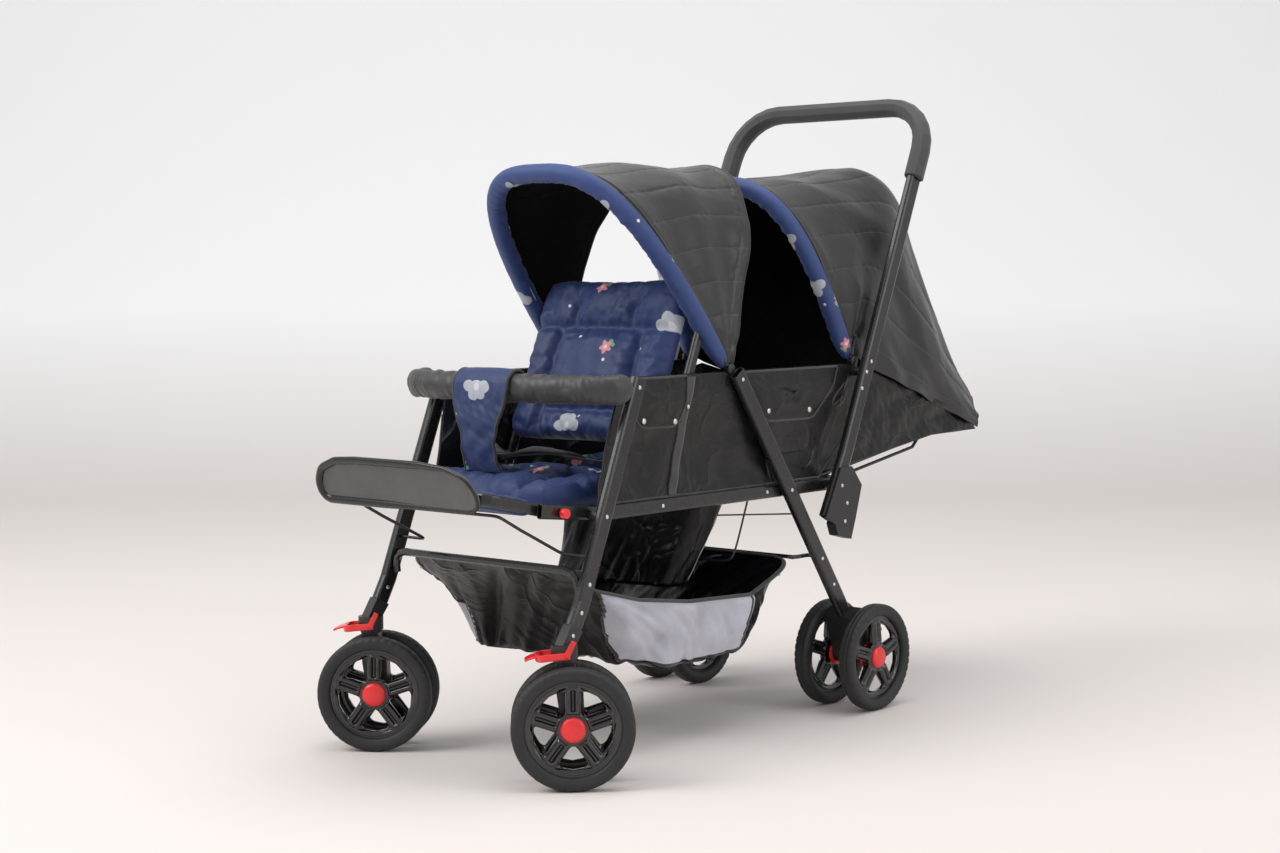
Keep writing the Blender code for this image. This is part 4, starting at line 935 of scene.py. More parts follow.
def build_foot_plate():
    """A pressed plate with rounded corners in a thick rubber edging, tilted up at the toes."""
    low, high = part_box("foot_plate")
    half = high.x
    tilt = math.radians(20)
    up = np.array([-math.sin(tilt), math.cos(tilt)])
    face = np.array([-math.cos(tilt), -math.sin(tilt)])
    base = np.array([low.y + 0.0268 + SHIFT, low.z + 0.0020])
    height = 0.0700

    def at(x, rise, proud):
        p = base + up * rise + face * proud
        return (x, p[0], p[1])

    right = [(half - 0.012, 0.0), (half, 0.011), (half, 0.030), (half - 0.014, 0.053), (half - 0.050, 0.067)]
    right.append((half - 0.095, height))
    outline = rounded_outline(right + [(-x, z) for x, z in reversed(right)], 0.030, 5)
    rings = []
    for inset, proud in ((0.0, -0.0045), (0.0, 0.0), (0.0012, 0.0012), (0.0050, 0.0014), (0.0085, 0.0002),
                         (0.0115, -0.0002)):
        ring = []
        for p in outline:
            x = p.x * (1 - inset / half)
            rise = height / 2 + (p.y - height / 2) * (1 - inset / (height / 2))
            ring.append(at(x, rise, proud))
        rings.append(ring)
    back = [at(p.x * 0.985, height / 2 + (p.y - height / 2) * 0.94, -0.0058) for p in outline]
    rings = [back] + rings
    count = len(outline)
    verts = shifted([p for ring in rings for p in ring])
    faces = [tuple(range(count)), tuple(range((len(rings) - 1) * count, len(rings) * count))]
    faces += grid_faces(len(rings), count, True)
    plate = outward(make("foot_plate_pressing", verts, faces, M["plate"]))
    bevelled(plate, 0.0008, angle=40)
    fit(plate, "legrest", "foot_plate")
    path = shifted([at(p.x * (1 - 0.0012 / half), height / 2 + (p.y - height / 2) * 0.955, 0.0004)
                    for p in outline])
    path = resample(np.concatenate([path, path[:1]]), 240)[:-1]
    rise = np.array([p.y for p in outline])
    at_ring = np.linspace(0, len(rise), 240, endpoint=False)
    rise = np.interp(at_ring, np.arange(len(rise) + 1), [*rise, rise[0]])
    edging = tube("foot_plate_edging", path, oval(0.0066, 0.0052, 16), M["rubber_rim"], (0, 0, 1),
                  0.50 + 0.50 * step(rise, 0.002, 0.040)[: len(path)], closed=True)
    fit(edging, "legrest")


def build_swivel_locks():
    """The red lever round each caster socket, with its paddle and the upright finger."""
    for side, s in SIDES:
        joint = JOINTS[f"swivel_lock_lift_{side}"]
        pivot = Vector(joint["pos_m"])
        axis = Vector(joint["axis"])
        turn = math.atan2(-axis.y, -axis.x)
        spot = Matrix.Translation(pivot) @ Matrix.Rotation(turn, 4, "Z")
        reach, out, lever = 0.0213, -0.044, f"swivel_lock_{side}"
        half = [(reach, 0.004, 0), (reach, out * 0.5, -0.002), (reach * 0.97, out * 0.88, -0.0036)]
        other = [(-x, y, z) for x, y, z in reversed(half)]
        path = smooth_line(np.array([*half, (0, out - 0.0012, -0.0042), *other]), 60)
        arm = tube(f"lock_lever_{side}", path, oval(0.0016, 0.0052, 16, 5.0), M["red"], (1, 0, 0))
        arm.matrix_world = spot
        fit(arm, lever, lever)
        rows, cols = 14, 17
        grid = np.zeros((rows, cols, 3))
        for i in range(rows):
            f = i / (rows - 1)
            width = 0.0175 * (1 - 0.25 * f**3)
            for j in range(cols):
                u = j / (cols - 1) * 2 - 1
                drop = 0.0005 + 0.0065 * f * f + 0.0012 * u * u
                grid[i, j] = (width * u * (1 - 0.10 * f * u * u), out + 0.004 - 0.021 * f, -drop)
        paddle = cloth_sheet(f"lock_paddle_{side}", grid, M["red"], 0.0030)
        paddle.matrix_world = spot
        bevelled(paddle, 0.0009)
        fit(paddle, lever, None)
        tabs = []
        for way in (1, -1):
            finger = [(reach, -0.002, -0.003), (reach + 0.0006, 0.004, 0.010),
                      (reach + 0.0004, 0.010, 0.021)]
            line = smooth_line(np.array([(way * x, y, z) for x, y, z in finger]), 16)
            size = np.linspace(1.0, 0.72, 16)
            tabs.append(tube("tab", line, oval(0.0017, 0.0050, 14, 4.0), M["red"], (1, 0, 0), size))
        tabs = merged(f"lock_fingers_{side}", tabs, M["red"])
        tabs.matrix_world = spot
        fit(tabs, lever, None)


def build_wires():
    """The wire loop and the two stays behind the footwell, under the rear seat."""
    half = [(0.1500, 0.515, 0.3800), (0.1500, 0.508, 0.3650), (0.1500, 0.476, 0.2900),
            (0.1400, 0.4680, 0.2740), (0.1000, 0.4670, 0.2720), (0.0, 0.4670, 0.2720)]
    line = smooth_line(shifted(half + [(-x, y, z) for x, y, z in reversed(half[:-1])]), 120)
    loop = tube("basket_hanger", line, oval(0.0016, 0.0016, 10), M["wire"])
    fit(loop, "seat_frame", None)
    for side, s in SIDES:
        path = smooth_line(shifted([(s * 0.1370, 0.447, 0.3480), (s * 0.1480, 0.510, 0.3440),
                                    (s * 0.1620, 0.575, 0.3400), (s * 0.1720, 0.612, 0.3380)]), 30)
        stay = tube(f"footwell_stay_{side}", path, oval(0.0013, 0.0013, 8), M["wire"])
        fit(stay, "seat_frame", None)


# ---------------------------------------------------------------- pads
def lean(yz, angle, run, off=0.0):
    """The side-view point at a run along a sloping line and a distance off it."""
    c, s = math.cos(angle), math.sin(angle)
    return (yz[0] + run * c - off * s, yz[1] + run * s + off * c)


def seam_distance(x, y, seams):
    """Distance from each point to the nearest of the straight seams (x0, y0, x1, y1)."""
    best = np.full(np.shape(x), 9.0)
    for x0, y0, x1, y1 in seams:
        dx, dy = x1 - x0, y1 - y0
        t = np.clip(((x - x0) * dx + (y - y0) * dy) / (dx * dx + dy * dy), 0, 1)
        best = np.minimum(best, np.hypot(x - x0 - t * dx, y - y0 - t * dy))
    return best


FILL_FRAMES, FILL_SWELL, FILL_PRESSURE, FILL_LIMIT = 20, -0.05, 4.0, 0.007


def settle(obj, pinned):
    """Fills a sewn pad with the cloth solver: pinned seams hold, and no point moves more than the limit."""
    scene = bpy.context.scene
    group = obj.vertex_groups.new(name="sewn")
    group.add([int(k) for k in np.nonzero(pinned)[0]], 1.0, "REPLACE")
    mod = obj.modifiers.new("fill", "CLOTH")
    cfg = mod.settings
    cfg.quality = 6
    cfg.mass = 0.15
    cfg.tension_stiffness = cfg.compression_stiffness = 14
    cfg.shear_stiffness = 6
    cfg.bending_stiffness = 0.25
    cfg.tension_damping = cfg.compression_damping = 8
    cfg.use_pressure = True
    cfg.uniform_pressure_force = FILL_PRESSURE
    cfg.shrink_min = FILL_SWELL
    cfg.vertex_group_mass = "sewn"
    cfg.effector_weights.gravity = 0.0
    mod.collision_settings.use_collision = False
    mod.point_cache.frame_start = 1
    mod.point_cache.frame_end = FILL_FRAMES
    for f in range(1, FILL_FRAMES + 1):
        scene.frame_set(f)
    shown = obj.evaluated_get(bpy.context.evaluated_depsgraph_get()).to_mesh()
    new = np.array([v.co for v in shown.vertices], float)
    old = np.array([v.co for v in obj.data.vertices], float)
    obj.modifiers.remove(mod)
    obj.vertex_groups.clear()
    scene.frame_set(1)
    if len(new) != len(old) or not np.isfinite(new).all():
        return
    move = new - old
    size = np.linalg.norm(move, axis=1, keepdims=True)
    move *= np.minimum(1, FILL_LIMIT / np.maximum(size, 1e-9))
    obj.data.vertices.foreach_set("co", (old + move).astype(np.float32).ravel())
    obj.data.update()


def pad(name, half_w, length, thick, place, seams, seed, wrinkle, corner=0.22, top_corner=0.22, bottom=0.35,
        sink=0.009, pitch=0.0048):
    """A stuffed pad with rounded corners, drawn-in sides and sewn channels. place maps across, along, up."""
    nu, nv = int(2 * half_w / pitch) + 1, int(length / pitch) + 1
    u, v = np.meshgrid(np.linspace(-1, 1, nu), np.linspace(-1, 1, nv), indexing="ij")
    cut = corner + (top_corner - corner) * step(v, -0.2, 0.6)
    across = half_w * u * np.sqrt(1 - cut * v**8 / 2) * (1 - 0.022 * (1 - v * v))
    along = length / 2 * (1 + v * np.sqrt(1 - cut * u**8 / 2) * (1 - 0.022 * (1 - u * u)))
    near = np.minimum((1 - abs(u)) * half_w, (1 - abs(v)) * length / 2)
    d = seam_distance(across, along, seams)
    edge = np.sqrt(np.clip(1 - (1 - np.clip(near / 0.020, 0, 1)) ** 2, 0, 1))
    crown = 0.80 + 0.20 * np.cos(u * 1.45) * np.cos(v * 1.45)
    fold = waves(across, along, 11.0, seed) * wrinkle
    fold = fold + waves(across, along, 34.0, seed + 1, 2) * wrinkle * 0.35
    pull = waves(across, along, 60.0, seed + 2, 2) * 0.0012 * bell(d, 0.016)
    top = thick * (1 - bottom) * edge * crown - sink * bell(d, 0.0075) * edge + (fold + pull) * edge
    low = -thick * bottom * np.sqrt(np.clip(1 - (1 - np.clip(near / 0.014, 0, 1)) ** 2, 0, 1))
    ids, verts, pins, uv = {}, [], [], []
    for layer, up in (("top", top), ("low", low)):
        for i in range(nu):
            for j in range(nv):
                rim = i in (0, nu - 1) or j in (0, nv - 1)
                if rim and layer == "low":
                    ids[layer, i, j] = ids["top", i, j]
                    continue
                ids[layer, i, j] = len(verts)
                height = 0.0 if rim else up[i, j]
                verts.append(place(across[i, j], along[i, j], height + thick * bottom))
                pins.append(layer == "low" or rim or d[i, j] < 0.0034)
                uv.append((across[i, j] + seed * 0.317, along[i, j] + seed * 0.183))
    faces = []
    for layer in ("top", "low"):
        for i in range(nu - 1):
            for j in range(nv - 1):
                quad = [ids[layer, a, b] for a, b in ((i, j), (i + 1, j), (i + 1, j + 1), (i, j + 1))]
                faces.append(tuple(quad if layer == "top" else reversed(quad)))
    obj = outward(make(name, shifted(verts), faces, M["navy"], uv))
    settle(obj, np.array(pins))
    mod = obj.modifiers.new("smooth", "SUBSURF")
    mod.levels = mod.render_levels = 1
    return obj


def on_line(yz, angle, off=0.0):
    """Lays a pad along a sloping line of the side view."""
    def place(across, along, up):
        y, z = lean(yz, angle, along, off + up)
        return (across, y, z)

    return place


BACK_PIVOT, BACK_LEAN = (0.262, 0.382), math.radians(67.6)
BED_BEND, BED_TILT, BED_LENGTH = (0.672, 0.3925), math.radians(9.2), 0.428
REST_PIVOT, REST_RISE, REST_LENGTH = (0.010, 0.396), math.radians(13), 0.112
SEAT_Z = 0.3898


def build_pads():
    half, w = 0.150, 0.089
    start, end, line = 0.085, 0.360, 0.188
    front = pad("front_seat_pad", half, 0.233, 0.046, on_line((0.035, SEAT_Z), 0.0),
                [(-w, 0.0, -w, 0.233), (w, 0.0, w, 0.233),
                 (-half, 0.095, half, 0.095), (-w, 0.170, w, 0.170)],
                5, 0.0030, sink=0.010)
    rear = pad("rear_seat_pad", half, 0.250, 0.046, on_line((0.385, SEAT_Z), 0.0),
               [(-w, 0.0, -w, 0.25), (w, 0.0, w, 0.25), (-half, 0.125, half, 0.125)], 9, 0.0024)
    back = pad("front_back_cover", half, end - start, 0.040,
               on_line(lean(BACK_PIVOT, BACK_LEAN, start), BACK_LEAN, 0.0090 - 0.0008),
               [(-half, line, half, line), (-0.086, 0.0, -0.086, line), (0.086, 0.0, 0.086, line),
                (-0.086, 0.050, 0.086, 0.050), (-0.060, line, -0.060, line + 0.036),
                (0.060, line, 0.060, line + 0.036)],
               14, 0.0018, corner=0.16, top_corner=0.42, sink=0.011)
    bed = pad("rear_back_cover", half, BED_LENGTH - 0.004, 0.036,
              on_line(lean(BED_BEND, BED_TILT, 0.002), BED_TILT, 0.0053),
              [(-half, 0.150, half, 0.150), (-half, 0.285, half, 0.285),
               (-w, 0.0, -w, 0.43), (w, 0.0, w, 0.43)],
              21, 0.0022, pitch=0.0056)
    rest = pad("legrest_cover", 0.1560, 0.092, 0.026,
               on_line(lean(REST_PIVOT, math.pi - REST_RISE, REST_LENGTH - 0.024), -REST_RISE, -0.0108),
               [(-0.156, 0.046, 0.156, 0.046)], 27, 0.0022, bottom=0.45, sink=0.005)
    for obj, body, node in ((front, "seat_frame", "front_seat_cushion"),
                            (rear, "seat_frame", "rear_seat_cushion"),
                            (back, "front_back", "front_back_pad"), (bed, "rear_back", "rear_back_pad"),
                            (rest, "legrest", "legrest_pad")):
        fit(obj, body, node)


# ---------------------------------------------------------------- bumper bar, strap and harness
BUMPER_Y, BUMPER_Z, BUMPER_END = 0.082, 0.566, 0.1379


def bar_point(t):
    """The bumper bar's middle line in plan, with t from -90 to 90 degrees."""
    y = BUMPER_Y + (BUMPER_END - BUMPER_Y) * (1 - math.cos(t)) ** 1.6
    return (LEG_X * math.sin(t), y, BUMPER_Z)


def build_bumper():
    path = [bar_point(a) for a in np.linspace(-math.pi / 2, math.pi / 2, 161)]
    path = resample(shifted(path), 190)
    ends = [(math.sin(a) * 0.0195, math.cos(a) ** 0.8) for a in np.radians([12, 24, 36, 48, 58, 68, 76, 83])]
    left = [path[-1] + np.array([0, r, 0]) for r, _ in ends]
    right = [path[0] + np.array([0, r, 0]) for r, _ in ends][::-1]
    whole = np.concatenate([right, path, left])
    sizes = np.concatenate([[k for _, k in ends][::-1], np.ones(len(path)), [k for _, k in ends]])
    section = oval(0.0222, 0.0192, 28)
    along = np.concatenate([[0], np.cumsum(np.linalg.norm(np.diff(whole, axis=0), axis=1))])
    turn = np.linspace(0, 2 * math.pi, len(section), endpoint=False)
    s, a = np.meshgrid(along, turn, indexing="ij")
    ring = waves(s, np.cos(a) * 0.020, 28.0, 31, 2) * 0.0010
    long = waves(s * 0.35, np.sin(a) * 0.03 + s * 0.1, 30.0, 33, 2) * 0.0008
    bend = bell(np.abs(s - along[-1] / 2) - along[-1] * 0.36, 0.05)
    pinch = -0.0012 * bend * np.abs(np.sin(s * 2 * math.pi / 0.019 + 1.5 * np.cos(a)))
    bumps = (ring + long + pinch - 0.0004) * sizes[:, None]
    bar = tube("bumper_sleeve", whole, section, M["sleeve"], (0, 0, 1), sizes, bumps)
    fit(bar, "bumper", "bumper_bar")
    seam = resample(shifted([bar_point(t) for t in np.linspace(-1.45, 1.45, 80)]), 150)
    seam = seam + np.array([0, 0.0060, -0.0213])
    fit(tube("bumper_sleeve_seam", seam, oval(0.0011, 0.0011, 8), M["binding"], (0, 0, 1)), "bumper")


def build_crotch_strap():
    """Padded strap that wraps over the bar and narrows down to the seat's front edge."""
    line = []
    for a in np.radians(np.linspace(-52, 168, 34)):
        line.append((BUMPER_Y + 0.0232 * math.cos(a), BUMPER_Z + 0.0262 * math.sin(a)))
    line += [(0.0565, 0.545), (0.0545, 0.525), (0.0530, 0.500), (0.0540, 0.475), (0.0580, 0.455),
             (0.0650, 0.4400)]
    line = smooth_line(np.array(line), 96)
    run = np.linspace(0, 1, len(line))
    half = np.interp(run, [0, 0.42, 0.55, 0.68, 0.80, 0.92, 1],
                     [0.050, 0.056, 0.053, 0.040, 0.0335, 0.034, 0.036])
    cols = 41
    grid = np.zeros((len(line), cols, 3))
    for i, (y, z) in enumerate(line):
        for j in range(cols):
            u = j / (cols - 1) * 2 - 1
            grid[i, j] = (half[i] * u - 0.004, y, z)
    u, v = lengths(grid)
    grid = shifted(grid)
    n = grid_normals(grid)
    side = np.linspace(-1, 1, cols)[None]
    n = n * np.sign((n[20, 20] @ np.array([0, -0.3, 1.0])))
    puff = 0.0016 * (1 - side**2)
    ripple = waves(u, v, 24.0, 41, 2) * 0.0012 * (0.4 + step(run, 0.45, 0.7)[:, None])
    pull = 0.0010 * np.sin(v * 2 * math.pi / 0.017) * bell(run[:, None] - 0.55, 0.09)
    grid = grid + n * (puff + ripple + pull)[..., None]
    strap = cloth_sheet("crotch_strap_cover", grid, M["navy"], 0.0032, uv=np.stack([v + 0.41, u + 0.07], 2))
    fit(strap, "bumper", "crotch_strap")
    for name, col in (("l", -1), ("r", 0)):
        trim = tube(f"crotch_strap_piping_{name}", grid[:, col], oval(0.0024, 0.0024, 12), M["binding"])
        fit(trim, "bumper")
    flat = (float(2 * half.max()), float(u[-1].mean()))
    declare(strap, grid, flat)
    studs("strap_snaps", "bumper", [(-0.0555, 0.0660, 0.528, 1)], 0.005, 0.002)


def band(name, path, width, thick, mat):
    """A flat strap with its face up, along a smooth path in side-frame coordinates."""
    path = smooth_line(shifted(path), max(24, int(len(path) * 14)))
    t = np.gradient(path, axis=0)
    t /= np.linalg.norm(t, axis=1, keepdims=True)
    across = np.cross(t, (0.0, 0.0, 1.0))
    across /= np.linalg.norm(across, axis=1, keepdims=True)
    side = np.linspace(-1, 1, 9)
    grid = path[:, None] + across[:, None] * (side * width / 2)[None, :, None]
    strap = fit(cloth_sheet(name, grid, mat, thick), "seat_frame")


WAIST_STRAP = [(0.118, 0.262, 0.448), (0.122, 0.225, 0.4475), (0.108, 0.180, 0.4540), (0.074, 0.130, 0.4660),
               (0.038, 0.103, 0.4640), (0.014, 0.096, 0.459)]
STRAP_PAD = [(0.020, 0.098, 0.4625), (0.050, 0.112, 0.4720), (0.078, 0.142, 0.4680), (0.086, 0.176, 0.456)]
REAR_STRAP = [(0.118, 0.628, 0.4490), (0.122, 0.585, 0.4450), (0.095, 0.535, 0.4440), (0.055, 0.495, 0.4440),
              (0.012, 0.475, 0.4440)]


def build_harness():
    """Waist webbing of both seats, with their centre buckles."""
    for side, s in SIDES:
        for name, line, width, thick, mat in (("waist_strap", WAIST_STRAP, 0.030, 0.0026, "webbing"),
                                              ("waist_strap_pad", STRAP_PAD, 0.040, 0.0060, "sleeve"),
                                              ("rear_waist_strap", REAR_STRAP, 0.025, 0.0020, "webbing")):
            band(f"{name}_{side}", [(s * x, y, z) for x, y, z in line], width, thick, M[mat])
    outline = rounded_outline([(0.022, -0.017), (0.022, 0.017), (-0.022, 0.022), (-0.022, -0.022)], 0.008)
    for name, y, z in (("front", 0.098, 0.4600), ("rear", 0.472, 0.4450)):
        rings = []
        for k, lift_by in ((0.90, -0.0045), (1.0, -0.0030), (1.0, 0.0030), (0.88, 0.0052), (0.60, 0.0062)):
            rings.append([(p.x * k, y + p.y * k, z + lift_by) for p in outline])
        count = len(outline)
        verts = shifted([p for ring in rings for p in ring])
        faces = [tuple(range(count)), tuple(range(4 * count, 5 * count))]
        faces += grid_faces(5, count, True)
        buckle = outward(make(f"{name}_buckle", verts, faces, M["black"]))
        bevelled(buckle, 0.0008, angle=30)
        fit(buckle, "seat_frame", None)
        button = lathe(f"{name}_buckle_button", dome(0.0075, 0.0016, 0, 5), M["charcoal"], 28)
        face_up = Matrix.Rotation(-math.pi / 2, 4, "Y")
        button.matrix_world = Matrix.Translation(world(0.0, y, z + 0.0060)) @ face_up
        fit(button, "seat_frame")


# ---------------------------------------------------------------- canopies
def arch(low, top, half, count):
    """A hoop line from side to side between a low and a top point of the side view."""
    t = np.linspace(-math.pi / 2, math.pi / 2, 1201)
    across = half * np.sign(t) * np.abs(np.sin(t)) ** (2 / HOOP_POWER)
    rise = np.clip(np.cos(t), 0, 1) ** (2 / HOOP_POWER)
    line = np.stack([across, low[0] + (top[0] - low[0]) * rise, low[1] + (top[1] - low[1]) * rise], 1)
    return resample(line, count)


def canopy_grid(pivot_y, stations, rows, cols, tail):
    """The taut cloth from the front hoop to the last station, and on to the tail."""
    pivot = (pivot_y, PIVOT_Z)
    rings = []
    for angle, radius in stations:
        a = math.radians(angle)
        rings.append((*lean(pivot, a, 0.012), *lean(pivot, a, radius - 0.0008), HOOP_A - 0.0008))
    if tail:
        low0, top0 = pivot, lean(pivot, math.radians(stations[-1][0]), stations[-1][1])
        for f, half in ((0.5, HOOP_A), (0.985, HOOP_A - 0.006)):
            low = [a + (b - a) * f for a, b in zip(low0, TAIL_LOW)]
            top = [a + (b - a) * f for a, b in zip(top0, TAIL_TOP)]
            rings.append((low[0], low[1] + 0.012 * (1 - f), *top, half))
    rings = np.array(rings)
    fine = through(rings, np.linspace(0, len(rings) - 1, 500))
    path = np.concatenate([fine[:, 2:4], fine], 1)
    walked = np.concatenate([[0], np.cumsum(np.linalg.norm(np.diff(path[:, :2], axis=0), axis=1))])
    at = np.linspace(0, walked[-1], rows)
    fine = np.stack([np.interp(at, walked, fine[:, k]) for k in range(5)], 1)
    place = np.interp(at, walked, np.linspace(0, len(rings) - 1, 500))
    grid = np.stack([arch(r[0:2], r[2:4], r[4], cols) for r in fine])
    return shifted(grid), place


CLIP = [(-0.003, 0), (-0.003, 0.008), (0.0015, 0.0085), (0.0030, 0.0070), (0.0036, 0)]


def build_canopy(tag, pivot_y, stations, tail, rows, seed):
    """One canopy: quilted cover with its inside painted near-black as painted shade, rolled rim, piping, hem and
    pivot clips.
    """
    cols = 331
    grid, place = canopy_grid(pivot_y, stations, rows, cols, tail)
    n = grid_normals(grid)
    if n[rows // 2, cols // 2] @ np.array([0, 0.2, 1.0]) < 0:
        n = -n
    u, v = lengths(grid)
    half_width = 0.5 * float(v[:, -1].mean())
    across = np.linspace(-0.5, 0.5, cols) * float(v[:, -1].mean())
    rear = u[-1][None] - u
    over = np.broadcast_to(across, rear.shape)
    uv = np.stack([rear, over], 2)
    shift = (across - CANOPY_SEAM / 2) / CANOPY_SEAM
    frac = shift - np.floor(shift)
    seam_d = np.minimum(frac, 1 - frac)[None] * CANOPY_SEAM
    hem_d = np.abs(rear - HEM)
    inner = step(rear, 0.0, HEM * 1.3)
    front = step(u, 0.0, 0.030)
    bulge = 0.0009 * (1 - (2 * frac - 1) ** 2)[None] * inner * front
    groove = -0.0010 * bell(seam_d, 0.0020) * inner * front - 0.0009 * bell(hem_d, 0.0024)
    pucker = waves(u, across[None] * 0.35, 44.0, seed, 2) * 0.0004 * bell(seam_d, 0.010) * inner * front
    hem_pucker = waves(over, rear * 0.4, 60.0, seed + 1, 2) * 0.0005 * bell(hem_d, 0.012)
    broad = waves(u, over, 4.2, seed + 2, 2) * 0.0036 * front
    low = np.clip((0.085 - (half_width - np.abs(across))) / 0.085, 0, 1)[None]
    fold = waves(u * 0.6, over, 13.0, seed + 3, 2) * 0.0034 * (low + 0.12) * front
    between = np.sin(math.pi * (place - np.floor(place))) ** 2
    weight = np.cos(np.linspace(-1, 1, cols) * 1.35)[None] ** 0.6
    depth = np.where(place < len(stations) - 1, 0.0060, 0.0045)[:, None]
    sag = -between[:, None] * depth * weight
    height = bulge + groove + pucker + hem_pucker + broad + fold + sag
    grid = grid + n * np.minimum(height, 0.0030)[..., None]
    if tail:
        flat = step(grid[:, :, 1] + SHIFT, 0.86, 1.09)
        grid[:, :, 2] += 0.0016 * np.sin(over * 2 * math.pi / 0.09) * flat
        grid[:, :, 1] = np.minimum(grid[:, :, 1], TAIL_TOP[0] - SHIFT + 0.001)
    cover = cloth_sheet(f"{tag}_canopy_cover", grid, [M["canopy"], M["inside_shade"]], uv=uv)
    # Faces that look back towards the pivot, the inside of the cover, take the near-black material as painted
    # shade.
    faces = cover.data.polygons
    centres, normals = np.zeros(len(faces) * 3), np.zeros(len(faces) * 3)
    faces.foreach_get("center", centres)
    faces.foreach_get("normal", normals)
    from_pivot = centres.reshape(-1, 3) - np.array(world(0, pivot_y, PIVOT_Z))
    faces.foreach_set("material_index", ((from_pivot * normals.reshape(-1, 3)).sum(1) < 0).astype(np.int32))
    body = f"{tag}_canopy"

    hoop = math.radians(stations[0][0])
    back = np.array([0.0, math.sin(hoop), -math.cos(hoop)])
    last = float(np.linalg.norm(np.diff(grid[0], axis=0), axis=1).sum())
    edge = resample(grid[0], 260)
    into = np.cross(np.gradient(edge, axis=0), back)
    into /= np.linalg.norm(into, axis=1, keepdims=True)
    into *= np.sign(((edge.mean(0) - edge) * into).sum(1, keepdims=True))
    along = np.linspace(0, last, len(edge))
    ends = np.clip(np.minimum(along, last - along) / 0.050, 0, 1)
    sizes = 0.42 + 0.58 * np.sqrt(1 - (1 - ends) ** 2)
    path = edge + into * (0.0128 * sizes)[:, None] + back * 0.0030
    section = oval(0.0150, 0.0140, 26, 2.2)
    turn = np.linspace(0, 2 * math.pi, len(section), endpoint=False)
    s, a = np.meshgrid(along, turn, indexing="ij")
    inward = 0.5 + 0.5 * np.cos(a)
    crease = waves(s, a * 0.004, 42.0, seed + 5, 2) * 0.0011 * inward
    phase = s * math.pi / 0.0135 + waves(s, s * 0, 9.0, seed + 6) * 2.2
    beat = -0.0009 * np.abs(np.sin(phase)) ** 3 * inward
    bumps = (crease + beat) * sizes[:, None]
    roll = tube(f"{tag}_canopy_rim", path, section, M["roll"], into[0], sizes, bumps,
                uv_shift=(0.31 + seed, 0.2))
    fit(roll, body, None)
    row = int(round(0.0165 / float(u[-1].mean()) * (rows - 1)))
    line = resample(grid[row], 260)
    piping = fit(tube(f"{tag}_canopy_piping", line, oval(0.0024, 0.0024, 12), M["binding"], back), body)
    line = resample(grid[-1], 260)
    hem = tube(f"{tag}_canopy_hem", line, oval(0.0017, 0.0017, 10), M["binding"], (0, 1, 0))
    pivot = world(0, pivot_y, PIVOT_Z)
    flat = (float(v[:, -1].max()), float(u[-1].max()))
    declare(cover, grid, flat)
    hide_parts(f"{tag}_canopy_fabric")
    if tail:
        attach(hem, "armrests")
    for piece in [cover] if tail else [cover, hem]:
        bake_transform(piece)
    clips = []
    for _, s in SIDES:
        clip = lathe("clip", CLIP, M["black"], 24)
        turned = Matrix.Rotation(0 if s > 0 else math.pi, 4, "Z")
        clip.matrix_basis = Matrix.Translation(world(s * 0.1845, pivot_y, PIVOT_Z + 0.004)) @ turned
        clips.append(clip)
    fit(merged(f"{tag}_canopy_clips", clips, M["black"]), "armrests")


# ---------------------------------------------------------------- side panels
RAIL_TOP = 0.3945
PANEL_PROFILE = [
    (0.1716, 0.5610), (0.1714, 0.5700), (0.1722, 0.5778), (0.1745, 0.5797), (0.1775, 0.5802),
    (0.1808, 0.5797), (0.1830, 0.5778), (0.1832, 0.5700), (0.1832, 0.5570), (0.1826, 0.5470),
    (0.1806, 0.5300), (0.1780, 0.5050), (0.1762, 0.4700), (0.1754, 0.4400), (0.1752, 0.4150),
    (0.1756, 0.4030), (0.1762, RAIL_TOP),
]


def panel_front(z):
    return np.interp(z, [0.376, 0.406, 0.571], [0.1180, 0.1240, 0.1600])


def panel_rear(z):
    return np.interp(z, [0.376, 0.476, 0.571], [0.640, 0.768, 0.765])


def panel_x(y, z, seed):
    """How far out the panel hangs: loose between its sewn edges, close to the tubes where they pass."""
    outer = PANEL_PROFILE[:6:-1]
    base = np.interp(z, [p[1] for p in outer], [p[0] for p in outer])
    loose = step(z, 0.396, 0.430) * step(-z, -0.556, -0.530)
    folds = waves(y, z * 0.8, 5.0, seed, 2) * 0.0026 + waves(y * 0.5, z, 13.0, seed + 1, 2) * 0.0010
    pulls = 0.0010 * np.sin((y * 0.9 + z * 1.1) * 2 * math.pi / 0.060) * bell(z - 0.415, 0.03)
    return np.clip(base + (folds - 0.0010) * loose + pulls, 0.1715, 0.1832)


FLAPS = (
    ("front", [(0.1950, 0.5775), (0.3180, 0.5775), (0.3150, 0.5400), (0.3010, 0.5010), (0.2120, 0.5030),
               (0.1980, 0.5330)], [(0.2211, 0.5132), (0.2921, 0.5089)]),
    ("rear", [(0.4560, 0.5775), (0.7080, 0.5775), (0.6960, 0.5480), (0.6420, 0.4950), (0.5120, 0.4960),
              (0.4740, 0.5500)], [(0.5220, 0.5130), (0.6310, 0.5091)]),
)
POCKET = [(0.5060, 0.500), (0.6200, 0.500), (0.6400, 0.470), (0.6330, 0.4430), (0.5450, 0.4400),
          (0.5200, 0.465)]


def ringed(outline, centre, outward_at):
    """A patch as rings from its centre to its outline; outward_at gives x at a share of the way out."""
    edge = np.array([(p.x, p.y) for p in outline])
    centre = edge.mean(0) if centre is None else np.array(centre)
    rings = []
    for f in np.linspace(0.004, 1.0, 16):
        ring = centre + (edge - centre) * f
        rings.append(np.stack([outward_at(ring[:, 0], ring[:, 1], f), ring[:, 0], ring[:, 1]], 1))
    return np.stack(rings)


